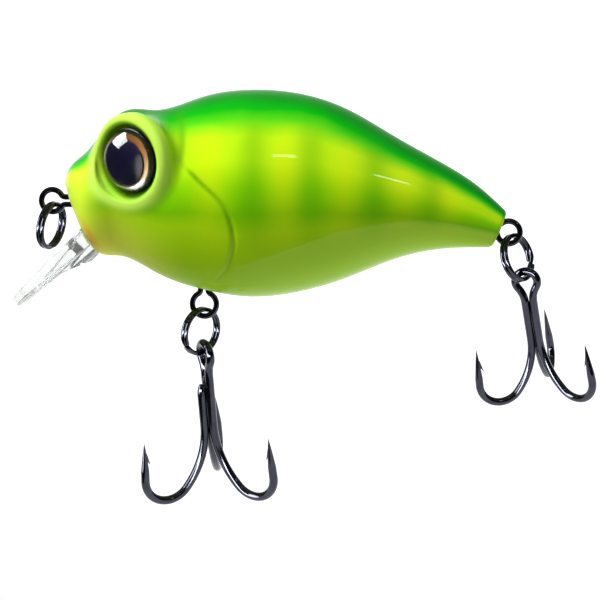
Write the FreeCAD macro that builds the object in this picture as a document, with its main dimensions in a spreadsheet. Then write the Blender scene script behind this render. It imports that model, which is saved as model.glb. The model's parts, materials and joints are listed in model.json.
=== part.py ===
import FreeCAD, Part
import math
import os
import Sketcher

# Small fat-bodied crankbait: two hollow half shells with bulging eye mounds, a clear diving lip, three
# wire hangers, split rings and two treble hooks.  Millimetres, +X to the tail, +Z up.
# The origin is the centre of the nose wire eye, where a line is tied.

V = FreeCAD.Vector
ORIGIN = V(0, 0, 0)
X_AXIS = V(1, 0, 0)
Y_AXIS = V(0, 1, 0)
Z_AXIS = V(0, 0, 1)
LEFT, RIGHT = -1, 1
SIDES = {"left": LEFT, "right": RIGHT}

doc = FreeCAD.newDocument("crankbait")
sheet = doc.addObject("Spreadsheet::Sheet", "dimensions")
next_row = 1
dims = {}


def cell(alias, value):
    """Put one driving dimension in the sheet."""
    global next_row
    sheet.set(f"A{next_row}", alias)
    sheet.set(f"B{next_row}", str(value))
    sheet.setAlias(f"B{next_row}", alias)
    dims[alias] = value
    next_row += 1


# ---- driving dimensions -------------------------------------------------------------------------------
# hull sections along X: place, top, bottom and half width of each
HULL_STATIONS = [
    (1.4, 2.7, 0.9, 0.85),
    (2.2, 3.6, -0.9, 2.2),
    (3.5, 4.7, -3.8, 3.7),
    (6.5, 8.1, -5.2, 4.7),
    (10.0, 8.55, -6.75, 5.75),
    (14.5, 9.75, -8.3, 6.95),
    (19.0, 10.4, -8.95, 7.45),
    (23.5, 10.05, -8.45, 7.15),
    (28.0, 8.6, -7.1, 6.4),
    (32.5, 6.05, -5.3, 5.1),
    (37.0, 3.55, -4.3, 3.6),
    (40.5, 1.25, -4.15, 2.35),
    (42.9, -0.95, -4.1, 1.4),
]
for number, (place, top, bottom, half_width) in enumerate(HULL_STATIONS):
    cell(f"hull{number}_x", place)
    cell(f"hull{number}_top", top)
    cell(f"hull{number}_bottom", bottom)
    cell(f"hull{number}_half_width", half_width)
cell("wall", 1.0)
cell("seam_box", 60.0)
cell("tail_face_x", 42.15)
cell("tail_face_z", -2.5)
cell("tail_face_slant", 22.5)
cell("tail_cut_span", 12.0)

# eyes: the mound is a dome cut flat where the socket opens
cell("eye_x", 8.4)
cell("eye_y", 5.45)
cell("eye_z", 3.88)
cell("eye_forward_angle", 31.0)
cell("eye_down_angle", 6.0)
cell("mound_radius", 4.3)
cell("mound_root_radius", 3.2)
cell("mound_rim_radius", 3.75)
cell("mound_shoulder", 1.3)
cell("mound_depth", 4.6)
cell("mound_cut", 2.2)
cell("socket_mouth_radius", 3.5)
cell("socket_floor_radius", 3.05)
cell("socket_depth", 0.6)
cell("eye_radius", 2.92)
cell("eye_seat_depth", 0.2)
cell("eye_wall_radius", 3.9)
cell("eye_wall_depth", 2.3)
cell("seat_thickness", 0.45)
cell("seat_bore_radius", 2.4)
cell("iris_thickness", 0.2)
cell("iris_radius", 2.34)
cell("iris_clearance", 0.03)
cell("pupil_radius", 1.83)
cell("pupil_offset", 0.25)
cell("lens_height", 2.0)

# diving lip: wedge in section, widening towards a bowed front edge
cell("lip_angle", 46.0)
cell("lip_root_x", 2.95)
cell("lip_root_z", -2.75)
cell("lip_tang", 2.3)
cell("lip_length", 9.5)
cell("lip_side_length", 8.2)
cell("lip_neck_length", 0.6)
cell("lip_shoulder_length", 4.2)
cell("lip_corner_share", 0.93)
cell("lip_cutter_depth", 4.0)
cell("lip_cutter_half_width", 8.0)
cell("lip_root_half_width", 2.7)
cell("lip_half_width", 4.9)
cell("lip_root_thickness", 1.8)
cell("lip_tip_thickness", 0.75)
cell("lip_keel_width", 0.8)
cell("lip_keel_height", 0.8)
cell("lip_keel_length", 4.6)
cell("lip_keel_heel", 1.6)
cell("lip_keel_bury", 0.5)
cell("lip_fit", 0.03)

# wire hangers
cell("hanger_wire", 0.55)
cell("nose_eye_radius", 1.05)
cell("belly_eye_radius", 1.15)
cell("tail_eye_radius", 1.05)
cell("hanger_loop_radius", 0.78)
cell("hanger_neck", 0.36)
cell("hanger_bend", 0.45)
cell("loop_opening_angle", 24.0)
cell("channel_fit", 0.04)
cell("keeper_pin_radius", 0.42)
cell("keeper_pin_reach", 1.6)
cell("keeper_pin_fit", 0.03)
cell("nose_hanger_length", 5.3)
cell("belly_eye_x", 14.5)
cell("belly_eye_z", -9.75)
cell("belly_hanger_length", 4.6)
cell("tail_eye_x", 43.0)
cell("tail_eye_z", -2.75)
cell("tail_hanger_length", 5.3)
cell("tail_hanger_rise", 20.0)
cell("hanger_block", 3.2)
cell("head_block_length", 6.9)
cell("head_block_drop", 6.0)
cell("head_block_height", 8.0)
cell("belly_web_drop", 9.0)
cell("belly_web_height", 4.5)
cell("tail_web_x", 36.2)
cell("tail_web_drop", 5.0)
cell("tail_web_length", 6.0)

# inner structure
cell("rib_thickness", 0.8)
cell("rib_front_x", 15.6)
cell("rib_middle_x", 22.8)
cell("rib_rear_x", 30.0)
cell("shelf_z", -1.2)
cell("rail_y", 1.56)
cell("rail_height", 1.6)
cell("ball_radius", 1.5)
cell("ball_gap", 0.05)
cell("ballast_radius", 2.3)
cell("ballast_x", 20.6)
cell("ballast_z", -5.2)
cell("ballast_fit", 0.03)
cell("ballast_block_radius", 3.1)
cell("ballast_block_reach", 2.6)

# split rings: two coils side by side
cell("ring_wire", 0.42)
cell("ring_pitch", 0.4)
cell("belly_ring_radius", 2.15)
cell("tail_ring_radius", 2.1)
cell("nose_ring_radius", 2.1)
cell("link_gap", 0.18)

# treble hooks, belly and tail
cell("belly_hook_wire", 0.85)
cell("belly_hook_length", 16.1)
cell("belly_bend_radius", 2.42)
cell("belly_bottom_radius", 4.73)
cell("belly_point_height", 7.1)
cell("belly_hook_eye", 1.12)
cell("tail_hook_wire", 0.76)
cell("tail_hook_length", 13.2)
cell("tail_bend_radius", 2.12)
cell("tail_bottom_radius", 4.0)
cell("tail_point_height", 6.3)
cell("tail_hook_eye", 1.03)
cell("shank_flare_angle", 45.0)
cell("spear_lean", 4.0)
cell("taper_length", 3.1)
cell("point_radius", 0.03)
cell("barb_below_point", 1.5)
cell("barb_length", 1.0)
cell("barb_share", 0.26)
cell("barb_lean", 24.0)
cell("hook_eye_bend", 2.5)
cell("shank_spread", 1.02)

# how the hanging pieces sit at rest: where each ring hangs round its wire eye, the ring's own lean and
# turn, then the treble's swing round the ring, its tilt on the ring wire and its turn about the shank
for word, hang, lean, turn in (("nose", 40.0, -11.0, -14.0), ("belly", -8.0, -8.0, -36.0),
                               ("tail", 20.0, 20.0, -35.0)):
    cell(f"{word}_ring_hang", hang)
    cell(f"{word}_ring_lean", lean)
    cell(f"{word}_ring_turn", turn)
for word, swing, tilt, spin in (("belly", 17.0, 0.0, -20.0), ("tail", 7.0, 16.0, -163.0)):
    cell(f"{word}_treble_swing", swing)
    cell(f"{word}_treble_tilt", tilt)
    cell(f"{word}_treble_spin", spin)
doc.recompute()


# ---- helpers ------------------------------------------------------------------------------------------
def make(kind, name, expressions=None, placement=None, **properties):
    """Add an object, set plain properties and bind the others to sheet cells."""
    item = doc.addObject(kind, name)
    item.Label = name
    for key, value in properties.items():
        setattr(item, key, value)
    if placement is not None:
        item.Placement = placement
    for key, formula in (expressions or {}).items():
        item.setExpression(key, formula)
    return item


def at(**axes):
    """Expressions that bind a placement's base."""
    return {f"Placement.Base.{axis}": formula for axis, formula in axes.items()}


def turned(axis, degrees):
    return FreeCAD.Placement(ORIGIN, FreeCAD.Rotation(axis, degrees))


def boolean(kind, name, base, tool):
    return make(f"Part::{kind}", name, Base=base, Tool=tool)


def fuse(name, shapes):
    return make("Part::MultiFuse", name, Shapes=shapes)


def block(name, low, size):
    """A box given by expressions for its low corner and its size."""
    formulas = dict(zip(("Length", "Width", "Height"), size))
    formulas.update(at(x=low[0], y=low[1], z=low[2]))
    return make("Part::Box", name, formulas)


# ---- hull ---------------------------------------------------------------------------------------------
# an upright ellipse: its long axis along Z and its normal along X
UPRIGHT = FreeCAD.Placement(ORIGIN, FreeCAD.Rotation(Z_AXIS, -Y_AXIS, X_AXIS, "XZY"))


def hull_loft(name, stations, inset):
    """Smooth solid through upright ellipses, drawn in by the inset."""
    rings = []
    for index in stations:
        cellname = f"dimensions.hull{index}"
        formulas = {
            "MajorRadius": f"({cellname}_top - {cellname}_bottom) / 2 - {inset}",
            "MinorRadius": f"{cellname}_half_width - {inset}",
        }
        formulas.update(at(x=f"{cellname}_x", z=f"({cellname}_top + {cellname}_bottom) / 2"))
        rings.append(make("Part::Ellipse", f"{name}_section_{index}", formulas, UPRIGHT))
    return make("Part::Loft", name, Sections=rings, Solid=True, Ruled=False)


def eye_frame(side):
    """Placement at the centre of the mound, with Z along the eye's outward axis."""
    ahead, down = math.radians(dims["eye_forward_angle"]), math.radians(dims["eye_down_angle"])
    level = V(-math.sin(ahead), side * math.cos(ahead), 0)
    outward = level * math.cos(down) - Z_AXIS * math.sin(down)
    face = V(dims["eye_x"], side * dims["eye_y"], dims["eye_z"])
    forward = V(-math.cos(ahead), -side * math.sin(ahead), 0)
    turn = FreeCAD.Rotation(forward, outward.cross(forward), outward, "ZXY")
    return FreeCAD.Placement(face - outward * dims["mound_cut"], turn)


def closed_sketch(name, points, bow=None):
    """Closed outline through points in the sketch plane; the edge after point index bow bulges."""
    sketch = make("Sketcher::SketchObject", name)
    count = len(points)
    for index, start in enumerate(points):
        end = points[(index + 1) % count]
        if bow is not None and index == bow[0]:
            arc = Part.Arc(V(*start, 0), V(*bow[1], 0), V(*end, 0))
            sketch.addGeometry(arc, False)
        else:
            sketch.addGeometry(Part.LineSegment(V(*start, 0), V(*end, 0)), False)
    return sketch


def along_eye(side, distance):
    """The eye frame moved outward by a distance."""
    frame = eye_frame(side)
    return frame.multiply(FreeCAD.Placement(V(0, 0, distance), FreeCAD.Rotation()))


def eye_mound(word, side):
    """Round boss that carries an eye, with a rounded rim."""
    radius, rim, shoulder = dims["mound_radius"], dims["mound_rim_radius"], dims["mound_shoulder"]
    top, root = dims["mound_cut"], dims["mound_cut"] - dims["mound_depth"]
    swell = (radius * 2 + rim) / 3
    profile = closed_sketch(f"{word}_mound_profile",
                            [(0, root), (dims["mound_root_radius"], root), (radius, top - shoulder),
                             (rim, top), (0, top)],
                            bow=(2, (swell, top - shoulder * 0.4)))
    mound = make("Part::Revolution", f"{word}_mound", Source=profile, Axis=Y_AXIS, Base=ORIGIN, Angle=360,
                 Solid=True)
    frame = eye_frame(side)
    mound.Placement = frame.multiply(FreeCAD.Placement(ORIGIN, FreeCAD.Rotation(X_AXIS, 90)))
    return mound


def hanger_frames():
    """Eye centre and inward direction of each wire hanger, as a placement whose X runs inward."""
    rise = dims["tail_hanger_rise"]
    return {
        "nose": (FreeCAD.Placement(ORIGIN, FreeCAD.Rotation()), dims["nose_hanger_length"]),
        "belly": (
            FreeCAD.Placement(
                V(dims["belly_eye_x"], 0, dims["belly_eye_z"]), FreeCAD.Rotation(Y_AXIS, -90)
            ),
            dims["belly_hanger_length"],
        ),
        "tail": (
            FreeCAD.Placement(
                V(dims["tail_eye_x"], 0, dims["tail_eye_z"]), FreeCAD.Rotation(Y_AXIS, 180 + rise)
            ),
            dims["tail_hanger_length"],
        ),
    }


def upright_cylinder(name, frame, distance, radius, half_length):
    """A cylinder along Y, centred on a point down a hanger's inward axis."""
    lift = FreeCAD.Placement(V(distance, half_length, 0), FreeCAD.Rotation(X_AXIS, 90))
    cylinder = make("Part::Cylinder", name, {"Radius": radius}, frame.multiply(lift))
    cylinder.Height = 2 * half_length
    return cylinder


def hanger_channel(name, frame, length):
    """The room that a hanger's legs and inner loop need between the two shells."""
    half = dims["hanger_wire"] / 2 + dims["channel_fit"]
    width = dims["hanger_neck"] + half
    slot = make("Part::Box", f"{name}_slot", {}, frame.multiply(
        FreeCAD.Placement(V(0, -half, -width), FreeCAD.Rotation())))
    slot.Length = length
    slot.Width = 2 * half
    slot.Height = 2 * width
    loop = upright_cylinder(f"{name}_loop_room", frame, length, "dimensions.hanger_loop_radius"
                            " + dimensions.hanger_wire / 2 + dimensions.channel_fit", half)
    mouth = upright_cylinder(f"{name}_eye_room", frame, 0, f"dimensions.{name}_eye_radius"
                             " + dimensions.hanger_wire / 2 + dimensions.channel_fit", half)
    keeper = upright_cylinder(f"{name}_keeper", frame, length, "dimensions.keeper_pin_radius", half * 1.5)
    room = fuse(f"{name}_room", [slot, loop, mouth])
    return boolean("Cut", f"{name}_channel", room, keeper)


def build_hull():
    """The whole hollow hull, before it is split at Y = 0."""
    last = len(HULL_STATIONS) - 1
    outer = hull_loft("hull_skin", range(last + 1), "0")
    inner = hull_loft("hull_cavity", range(3, last), "dimensions.wall")
    mounds = []
    eye_walls = []
    cutters = []
    for word, side in SIDES.items():
        mounds.append(eye_mound(word, side))
        wall_start = dims["mound_cut"] - dims["eye_wall_depth"]
        eye_walls.append(make("Part::Cylinder", f"{word}_eye_wall",
                              {"Radius": "dimensions.eye_wall_radius", "Height": "dimensions.mound_radius"},
                              along_eye(side, wall_start)))
        cutters.append(make("Part::Cylinder", f"{word}_face_cut",
                            {"Radius": "dimensions.mound_rim_radius", "Height": "dimensions.mound_radius"},
                            along_eye(side, dims["mound_cut"])))
        floor = dims["mound_cut"] - dims["socket_depth"]
        cutters.append(make("Part::Cone", f"{word}_socket",
                            {"Radius1": "dimensions.socket_floor_radius",
                             "Radius2": "dimensions.socket_mouth_radius",
                             "Height": "dimensions.socket_depth"},
                            along_eye(side, floor)))
        cutters.append(make("Part::Cylinder", f"{word}_seat_pocket",
                            {"Radius": "dimensions.eye_radius + dimensions.iris_clearance",
                             "Height": "dimensions.eye_seat_depth + dimensions.socket_depth / 2"},
                            along_eye(side, floor - dims["eye_seat_depth"])))
    supports = list(eye_walls)
    for word in ("front", "middle", "rear"):
        supports.append(block(f"rib_{word}", (f"dimensions.rib_{word}_x", "-dimensions.seam_box / 2",
                                              "-dimensions.seam_box / 2"),
                              ("dimensions.rib_thickness", "dimensions.seam_box", "dimensions.seam_box")))
    supports.append(block("shelf", ("dimensions.rib_front_x", "-dimensions.seam_box / 2",
                                    "dimensions.shelf_z - dimensions.rib_thickness"),
                          ("dimensions.rib_rear_x - dimensions.rib_front_x", "dimensions.seam_box",
                           "dimensions.rib_thickness")))
    rail_lows = {"left": "-dimensions.rail_y - dimensions.rib_thickness", "right": "dimensions.rail_y"}
    for word, low in rail_lows.items():
        supports.append(block(f"{word}_rail", ("dimensions.rib_front_x", low,
                                               "dimensions.shelf_z - dimensions.rib_thickness / 2"),
                              ("dimensions.rib_rear_x - dimensions.rib_front_x", "dimensions.rib_thickness",
                               "dimensions.rail_height")))
    ballast_block = make("Part::Cylinder", "ballast_block", {
        "Radius": "dimensions.ballast_block_radius",
        "Height": "2 * dimensions.ballast_block_reach",
        "Placement.Base.x": "dimensions.ballast_x",
        "Placement.Base.y": "dimensions.ballast_block_reach",
        "Placement.Base.z": "dimensions.ballast_z",
    }, turned(X_AXIS, 90))
    supports.append(ballast_block)
    for word, (frame, length) in hanger_frames().items():
        supports.append(upright_cylinder(f"{word}_hanger_block", frame, length,
                                         "dimensions.hanger_block / 2", dims["hanger_block"]))
        cutters.append(hanger_channel(word, frame, length))
    thickness = "2 * dimensions.hanger_block"
    head_block = block("head_block", ("0", "-dimensions.hanger_block", "-dimensions.head_block_drop"),
                       ("dimensions.head_block_length", thickness, "dimensions.head_block_height"))
    belly_web = block("belly_web", ("dimensions.belly_eye_x - dimensions.hanger_block / 2",
                                    "-dimensions.hanger_block", "-dimensions.belly_web_drop"),
                      ("dimensions.hanger_block", thickness, "dimensions.belly_web_height"))
    tail_web = block("tail_web", ("dimensions.tail_web_x", "-dimensions.hanger_block",
                                  "-dimensions.tail_web_drop"),
                     ("dimensions.tail_web_length", thickness, "dimensions.tail_web_length"))
    supports.extend((head_block, belly_web, tail_web))
    tail_face = FreeCAD.Placement(V(dims["tail_face_x"], 0, dims["tail_face_z"]),
                                  FreeCAD.Rotation(Y_AXIS, dims["tail_face_slant"]))
    span = dims["tail_cut_span"]
    tail_cut = make("Part::Box", "tail_cut",
                    {axis: "dimensions.tail_cut_span" for axis in ("Length", "Width", "Height")},
                    tail_face.multiply(FreeCAD.Placement(V(0, -span / 2, -span / 2), FreeCAD.Rotation())))
    cutters.append(tail_cut)
    ballast_pocket = make("Part::Sphere", "ballast_pocket",
                          {"Radius": "dimensions.ballast_radius + dimensions.ballast_fit",
                           **at(x="dimensions.ballast_x", z="dimensions.ballast_z")})
    cutters.append(ballast_pocket)
    cutters.append(lip_solid("lip_slot", dims["lip_fit"]))
    solid = fuse("hull_with_mounds", [outer, *mounds])
    hollow = boolean("Cut", "hull_hollow", inner, fuse("hull_supports", supports))
    shelled = boolean("Cut", "hull_shelled", solid, hollow)
    return boolean("Cut", "hull_cut_out", shelled, fuse("hull_cutters", cutters))


def build_shells():
    """Left and right half shells; the left one carries the keeper pins, the right one their holes."""
    hull = build_hull()
    pins = []
    holes = []
    for word, (frame, length) in hanger_frames().items():
        reach = dims["keeper_pin_reach"]
        pins.append(upright_cylinder(f"{word}_keeper_pin", frame, length,
                                     "dimensions.keeper_pin_radius", reach))
        holes.append(upright_cylinder(f"{word}_pin_hole", frame, length,
                                      "dimensions.keeper_pin_radius + dimensions.keeper_pin_fit",
                                      reach + dims["keeper_pin_fit"]))
    half = "dimensions.seam_box"
    left_room = block("left_room", ("-10", f"-{half}", f"-{half} / 2"), (half, half, half))
    right_room = block("right_room", ("-10", "0", f"-{half} / 2"), (half, half, half))
    left_half = boolean("Common", "left_half", hull, left_room)
    right_half = boolean("Common", "right_half", hull, right_room)
    left = fuse("left_body_shell", [left_half, *pins])
    right = boolean("Cut", "right_body_shell", right_half, fuse("pin_holes", holes))
    return [left, right]


# ---- diving lip ---------------------------------------------------------------------------------------
def lip_frame():
    """Placement whose X runs down the lip from its root, and whose Z is the lip's upper side."""
    down = math.radians(dims["lip_angle"])
    run = V(-math.cos(down), 0, -math.sin(down))
    up = V(-math.sin(down), 0, math.cos(down))
    turn = FreeCAD.Rotation(run, up.cross(run), up, "ZXY")
    return FreeCAD.Placement(V(dims["lip_root_x"], 0, dims["lip_root_z"]), turn)


def lip_solid(name, grow):
    """The lip's plate and keel, grown on every side when it cuts the slot in the head."""
    frame = lip_frame()
    root, side, tip = dims["lip_root_half_width"] + grow, dims["lip_half_width"], dims["lip_length"]
    back, corner = -dims["lip_tang"] - grow, dims["lip_side_length"]
    neck, shoulder = dims["lip_neck_length"], dims["lip_shoulder_length"]
    end = side * dims["lip_corner_share"]
    outline = closed_sketch(f"{name}_outline",
                            [(back, -root), (neck, -root), (shoulder, -side), (corner, -end),
                             (corner, end), (shoulder, side), (neck, root), (back, root)],
                            bow=(3, (tip, 0)))
    depth = dims["lip_cutter_depth"]
    outline.Placement = frame.multiply(FreeCAD.Placement(V(0, 0, -depth), FreeCAD.Rotation()))
    plate = make("Part::Extrusion", f"{name}_plate", Base=outline, Solid=True, DirMode="Normal",
                 LengthFwd=2 * depth)
    thick, thin = dims["lip_root_thickness"], dims["lip_tip_thickness"]
    heel, bury, keel_end = dims["lip_keel_heel"], -dims["lip_keel_bury"], dims["lip_keel_length"]
    keel_depth = thick + dims["lip_keel_height"] + grow
    behind, beyond = back - heel, tip + heel
    wedge = closed_sketch(f"{name}_wedge", [(behind, grow), (beyond, grow), (beyond, -thin), (tip, -thin),
                                            (0, -thick - grow), (behind, -thick - grow)])
    keel = closed_sketch(f"{name}_keel_side", [(back, bury), (keel_end, bury), (keel_end, -thin),
                                               (heel, -keel_depth), (back, -keel_depth)])
    upright = FreeCAD.Rotation(X_AXIS, 90)
    wide = dims["lip_cutter_half_width"]
    wedge.Placement = frame.multiply(FreeCAD.Placement(V(0, wide, 0), upright))
    keel_half = dims["lip_keel_width"] / 2 + grow
    keel.Placement = frame.multiply(FreeCAD.Placement(V(0, keel_half, 0), upright))
    wedge_solid = make("Part::Extrusion", f"{name}_wedge_solid", Base=wedge, Solid=True, DirMode="Normal",
                       LengthFwd=2 * wide)
    keel_solid = make("Part::Extrusion", f"{name}_keel", Base=keel, Solid=True, DirMode="Normal",
                      LengthFwd=2 * keel_half)
    blade = boolean("Common", f"{name}_blade", plate, wedge_solid)
    return fuse(name, [blade, keel_solid])


# ---- eyes ---------------------------------------------------------------------------------------------
def build_eye(word, side):
    """Black seat ring, gold iris disc with its pupil opening, and clear domed lens."""
    floor = dims["mound_cut"] - dims["socket_depth"] - dims["eye_seat_depth"]
    frame = along_eye(side, floor)
    step = dims["seat_thickness"]
    cup = make("Part::Cylinder", f"{word}_eye_cup",
               {"Radius": "dimensions.eye_radius", "Height": "dimensions.seat_thickness"}, frame)
    iris_room = make("Part::Cylinder", f"{word}_iris_room",
                     {"Radius": "dimensions.seat_bore_radius", "Height": "dimensions.seat_thickness"},
                     along_eye(side, floor + step - dims["iris_thickness"]))
    seat = boolean("Cut", f"{word}_eye_seat", cup, iris_room)
    disc = make("Part::Cylinder", f"{word}_iris_disc",
                {"Radius": "dimensions.iris_radius",
                 "Height": "dimensions.iris_thickness - dimensions.iris_clearance / 2"},
                along_eye(side, floor + step - dims["iris_thickness"]))
    offset = FreeCAD.Placement(V(dims["pupil_offset"], 0, -step), FreeCAD.Rotation())
    pupil = make("Part::Cylinder", f"{word}_pupil_opening", {"Radius": "dimensions.pupil_radius"},
                 along_eye(side, floor + step).multiply(offset))
    pupil.Height = 2 * step
    iris = boolean("Cut", f"{word}_eye_iris", disc, pupil)
    height, radius = dims["lens_height"], dims["eye_radius"]
    dome_radius = (radius * radius + height * height) / (2 * height)
    base = floor + step
    dome = make("Part::Sphere", f"{word}_lens_ball", {}, along_eye(side, base + height - dome_radius))
    dome.Radius = dome_radius
    slab = make("Part::Cylinder", f"{word}_lens_slab", {"Radius": "dimensions.eye_radius",
                                                       "Height": "dimensions.lens_height * 2"},
                along_eye(side, base))
    lens = boolean("Common", f"{word}_eye_lens", dome, slab)
    return [seat, iris, lens]


# ---- bent wire ----------------------------------------------------------------------------------------
def neck_points(eye, neck, bend):
    """Bend centre distance along the axis, and where the bend meets the eye, for a necked loop."""
    reach = math.sqrt((eye + bend) ** 2 - (neck + bend) ** 2)
    share = eye / (eye + bend)
    return reach, share * reach, share * (neck + bend)


def arc_through(place, centre, radius, start, end):
    """Arc about a centre in the U, V plane from one angle to another, mapped by place."""
    points = []
    for angle in (start, (start + end) / 2, end):
        turn = math.radians(angle)
        points.append(place(centre[0] + radius * math.cos(turn), centre[1] + radius * math.sin(turn)))
    return Part.Arc(*points).toShape()


def line_between(place, start, end):
    return Part.LineSegment(place(*start), place(*end)).toShape()


def wire_solid(edges, diameter):
    """Round wire swept along tangent edges."""
    path = Part.Wire(edges)
    first = path.Edges[0]
    start = first.valueAt(first.FirstParameter)
    tangent = first.tangentAt(first.FirstParameter)
    if (start - path.OrderedVertexes[0].Point).Length > 1e-6:
        start = first.valueAt(first.LastParameter)
        tangent = first.tangentAt(first.LastParameter)
    ring = Part.Wire(Part.makeCircle(diameter / 2, start, tangent))
    solid = path.makePipeShell([ring], True, False)
    if solid.Volume < 0:
        solid.reverse()
    return solid


def build_hanger(word, frame, length):
    """Figure-eight hanger: outer eye, two legs, inner loop round its keeper pin."""
    eye, loop = dims[f"{word}_eye_radius"], dims["hanger_loop_radius"]
    neck, bend = dims["hanger_neck"], dims["hanger_bend"]
    eye_reach, eye_u, eye_v = neck_points(eye, neck, bend)
    loop_reach, loop_u, loop_v = neck_points(loop, neck, bend)
    opening = dims["loop_opening_angle"]

    def place(u, v):
        return V(u, 0, v)

    eye_angle = math.degrees(math.atan2(eye_v, eye_u))
    loop_angle = math.degrees(math.atan2(loop_v, -loop_u))
    edges = [
        arc_through(place, (length, 0), loop, opening, loop_angle),
        arc_through(place, (length - loop_reach, neck + bend), bend, loop_angle - 180, -90),
        line_between(place, (length - loop_reach, neck), (eye_reach, neck)),
        arc_through(place, (eye_reach, neck + bend), bend, -90, eye_angle - 180),
        arc_through(place, (0, 0), eye, eye_angle, 360 - eye_angle),
        arc_through(place, (eye_reach, -neck - bend), bend, 180 - eye_angle, 90),
        line_between(place, (eye_reach, -neck), (length - loop_reach, -neck)),
        arc_through(place, (length - loop_reach, -neck - bend), bend, 90, 180 - loop_angle),
        arc_through(place, (length, 0), loop, -loop_angle, -opening),
    ]
    hanger = doc.addObject("Part::Feature", f"{word}_hanger")
    hanger.Label = "nose_line_tie" if word == "nose" else f"{word}_hanger"
    hanger.Shape = wire_solid(edges, dims["hanger_wire"])
    hanger.Placement = frame
    return hanger


# ---- linkage poses ------------------------------------------------------------------------------------
def ring_pose(word, eye_centre):
    """Centre, normal and outward direction of a ring hanging in a hanger eye."""
    hang = dims[f"{word}_eye_radius"] - (dims["hanger_wire"] + dims["ring_wire"]) / 2 - dims["link_gap"]
    hang_way = FreeCAD.Rotation(Y_AXIS, -dims[f"{word}_ring_hang"]).multVec(-Z_AXIS)
    tilt = FreeCAD.Rotation(Y_AXIS, -dims[f"{word}_ring_lean"])
    outward = tilt.multVec(-Z_AXIS)
    normal = tilt.multVec(FreeCAD.Rotation(Z_AXIS, dims[f"{word}_ring_turn"]).multVec(X_AXIS))
    return eye_centre + hang_way * hang + outward * dims[f"{word}_ring_radius"], normal, outward


def build_ring(word, pose, radius_alias):
    """Split ring: two coils pressed side by side."""
    centre, normal, outward = pose
    coils = []
    for index, sign in enumerate(("-", "")):
        coils.append(make("Part::Torus", f"{word}_coil_{index}", {
            "Radius1": f"dimensions.{radius_alias}",
            "Radius2": "dimensions.ring_wire / 2",
            "Placement.Base.z": f"{sign}dimensions.ring_pitch / 2",
        }))
    ring = fuse(f"{word}_split_ring", coils)
    turn = FreeCAD.Rotation(outward.cross(normal), outward, normal, "ZXY")
    ring.Placement = FreeCAD.Placement(centre, turn)
    return ring


def treble_pose(word, ring):
    """Placement of a treble whose local Z runs up its shank, with the ring wires at its origin."""
    centre, normal, outward = ring
    down = FreeCAD.Rotation(normal, dims[f"{word}_treble_swing"]).multVec(outward)
    contact = centre + down * dims[f"{word}_ring_radius"]
    along_ring = normal.cross(down)
    down = FreeCAD.Rotation(along_ring, dims[f"{word}_treble_tilt"]).multVec(down)
    turn = FreeCAD.Rotation(along_ring, (-down).cross(along_ring), -down, "ZXY")
    return FreeCAD.Placement(contact, turn.multiply(FreeCAD.Rotation(Z_AXIS, dims[f"{word}_treble_spin"])))


# ---- treble hooks -------------------------------------------------------------------------------------
def hook_arm(word, azimuth, top, shank_radius):
    """Edges of one hook from its shank top to the end of its bend, and its pointed spear."""
    bend, bottom = dims[f"{word}_bend_radius"], dims[f"{word}_bottom_radius"]
    wire, flare = dims[f"{word}_hook_wire"], math.radians(dims["shank_flare_angle"])
    sweep = (bottom - shank_radius - bend * math.cos(flare)) / (1 - math.cos(flare))
    low = top_to_bottom(word) + wire / 2
    flare_z = low + bend * (1 - math.sin(flare)) + sweep * math.sin(flare)
    turn = math.radians(azimuth)

    def place(radius, height):
        return V(radius * math.cos(turn), radius * math.sin(turn), height)

    lean = dims["spear_lean"]
    edges = [
        line_between(place, (shank_radius, top), (shank_radius, flare_z)),
        arc_through(place, (shank_radius + sweep, flare_z), sweep, 180, 180 + math.degrees(flare)),
        arc_through(place, (bottom, low + bend), bend, 180 + math.degrees(flare), 360 + lean),
    ]
    end = (bottom + bend * math.cos(math.radians(lean)), low + bend + bend * math.sin(math.radians(lean)))
    rise = low - wire / 2 + dims[f"{word}_point_height"] - end[1]
    tip = (end[0] - rise * math.tan(math.radians(lean)), end[1] + rise)
    direction = place(*tip) - place(*end)
    length = direction.Length
    direction.normalize()
    taper = dims["taper_length"]
    base = place(*tip) - direction * taper
    straight = Part.makeCylinder(wire / 2, length - taper, place(*end), direction)
    cone = Part.makeCone(wire / 2, dims["point_radius"], taper, base, direction)
    side = V(math.sin(turn), -math.cos(turn), 0)
    barb_way = FreeCAD.Rotation(side, -dims["barb_lean"]).multVec(-direction)
    barb_root = place(*tip) - direction * dims["barb_below_point"]
    barb = Part.makeCone(wire * dims["barb_share"], dims["point_radius"], dims["barb_length"],
                         barb_root, barb_way)
    return edges, [straight, cone, barb]


def top_to_bottom(word):
    """Local height of the lowest face of a treble, below the ring wires in its eye."""
    eye_top = (dims["ring_wire"] / 2) + dims["link_gap"] + dims[f"{word}_hook_wire"]
    return eye_top - dims[f"{word}_hook_length"]


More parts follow.
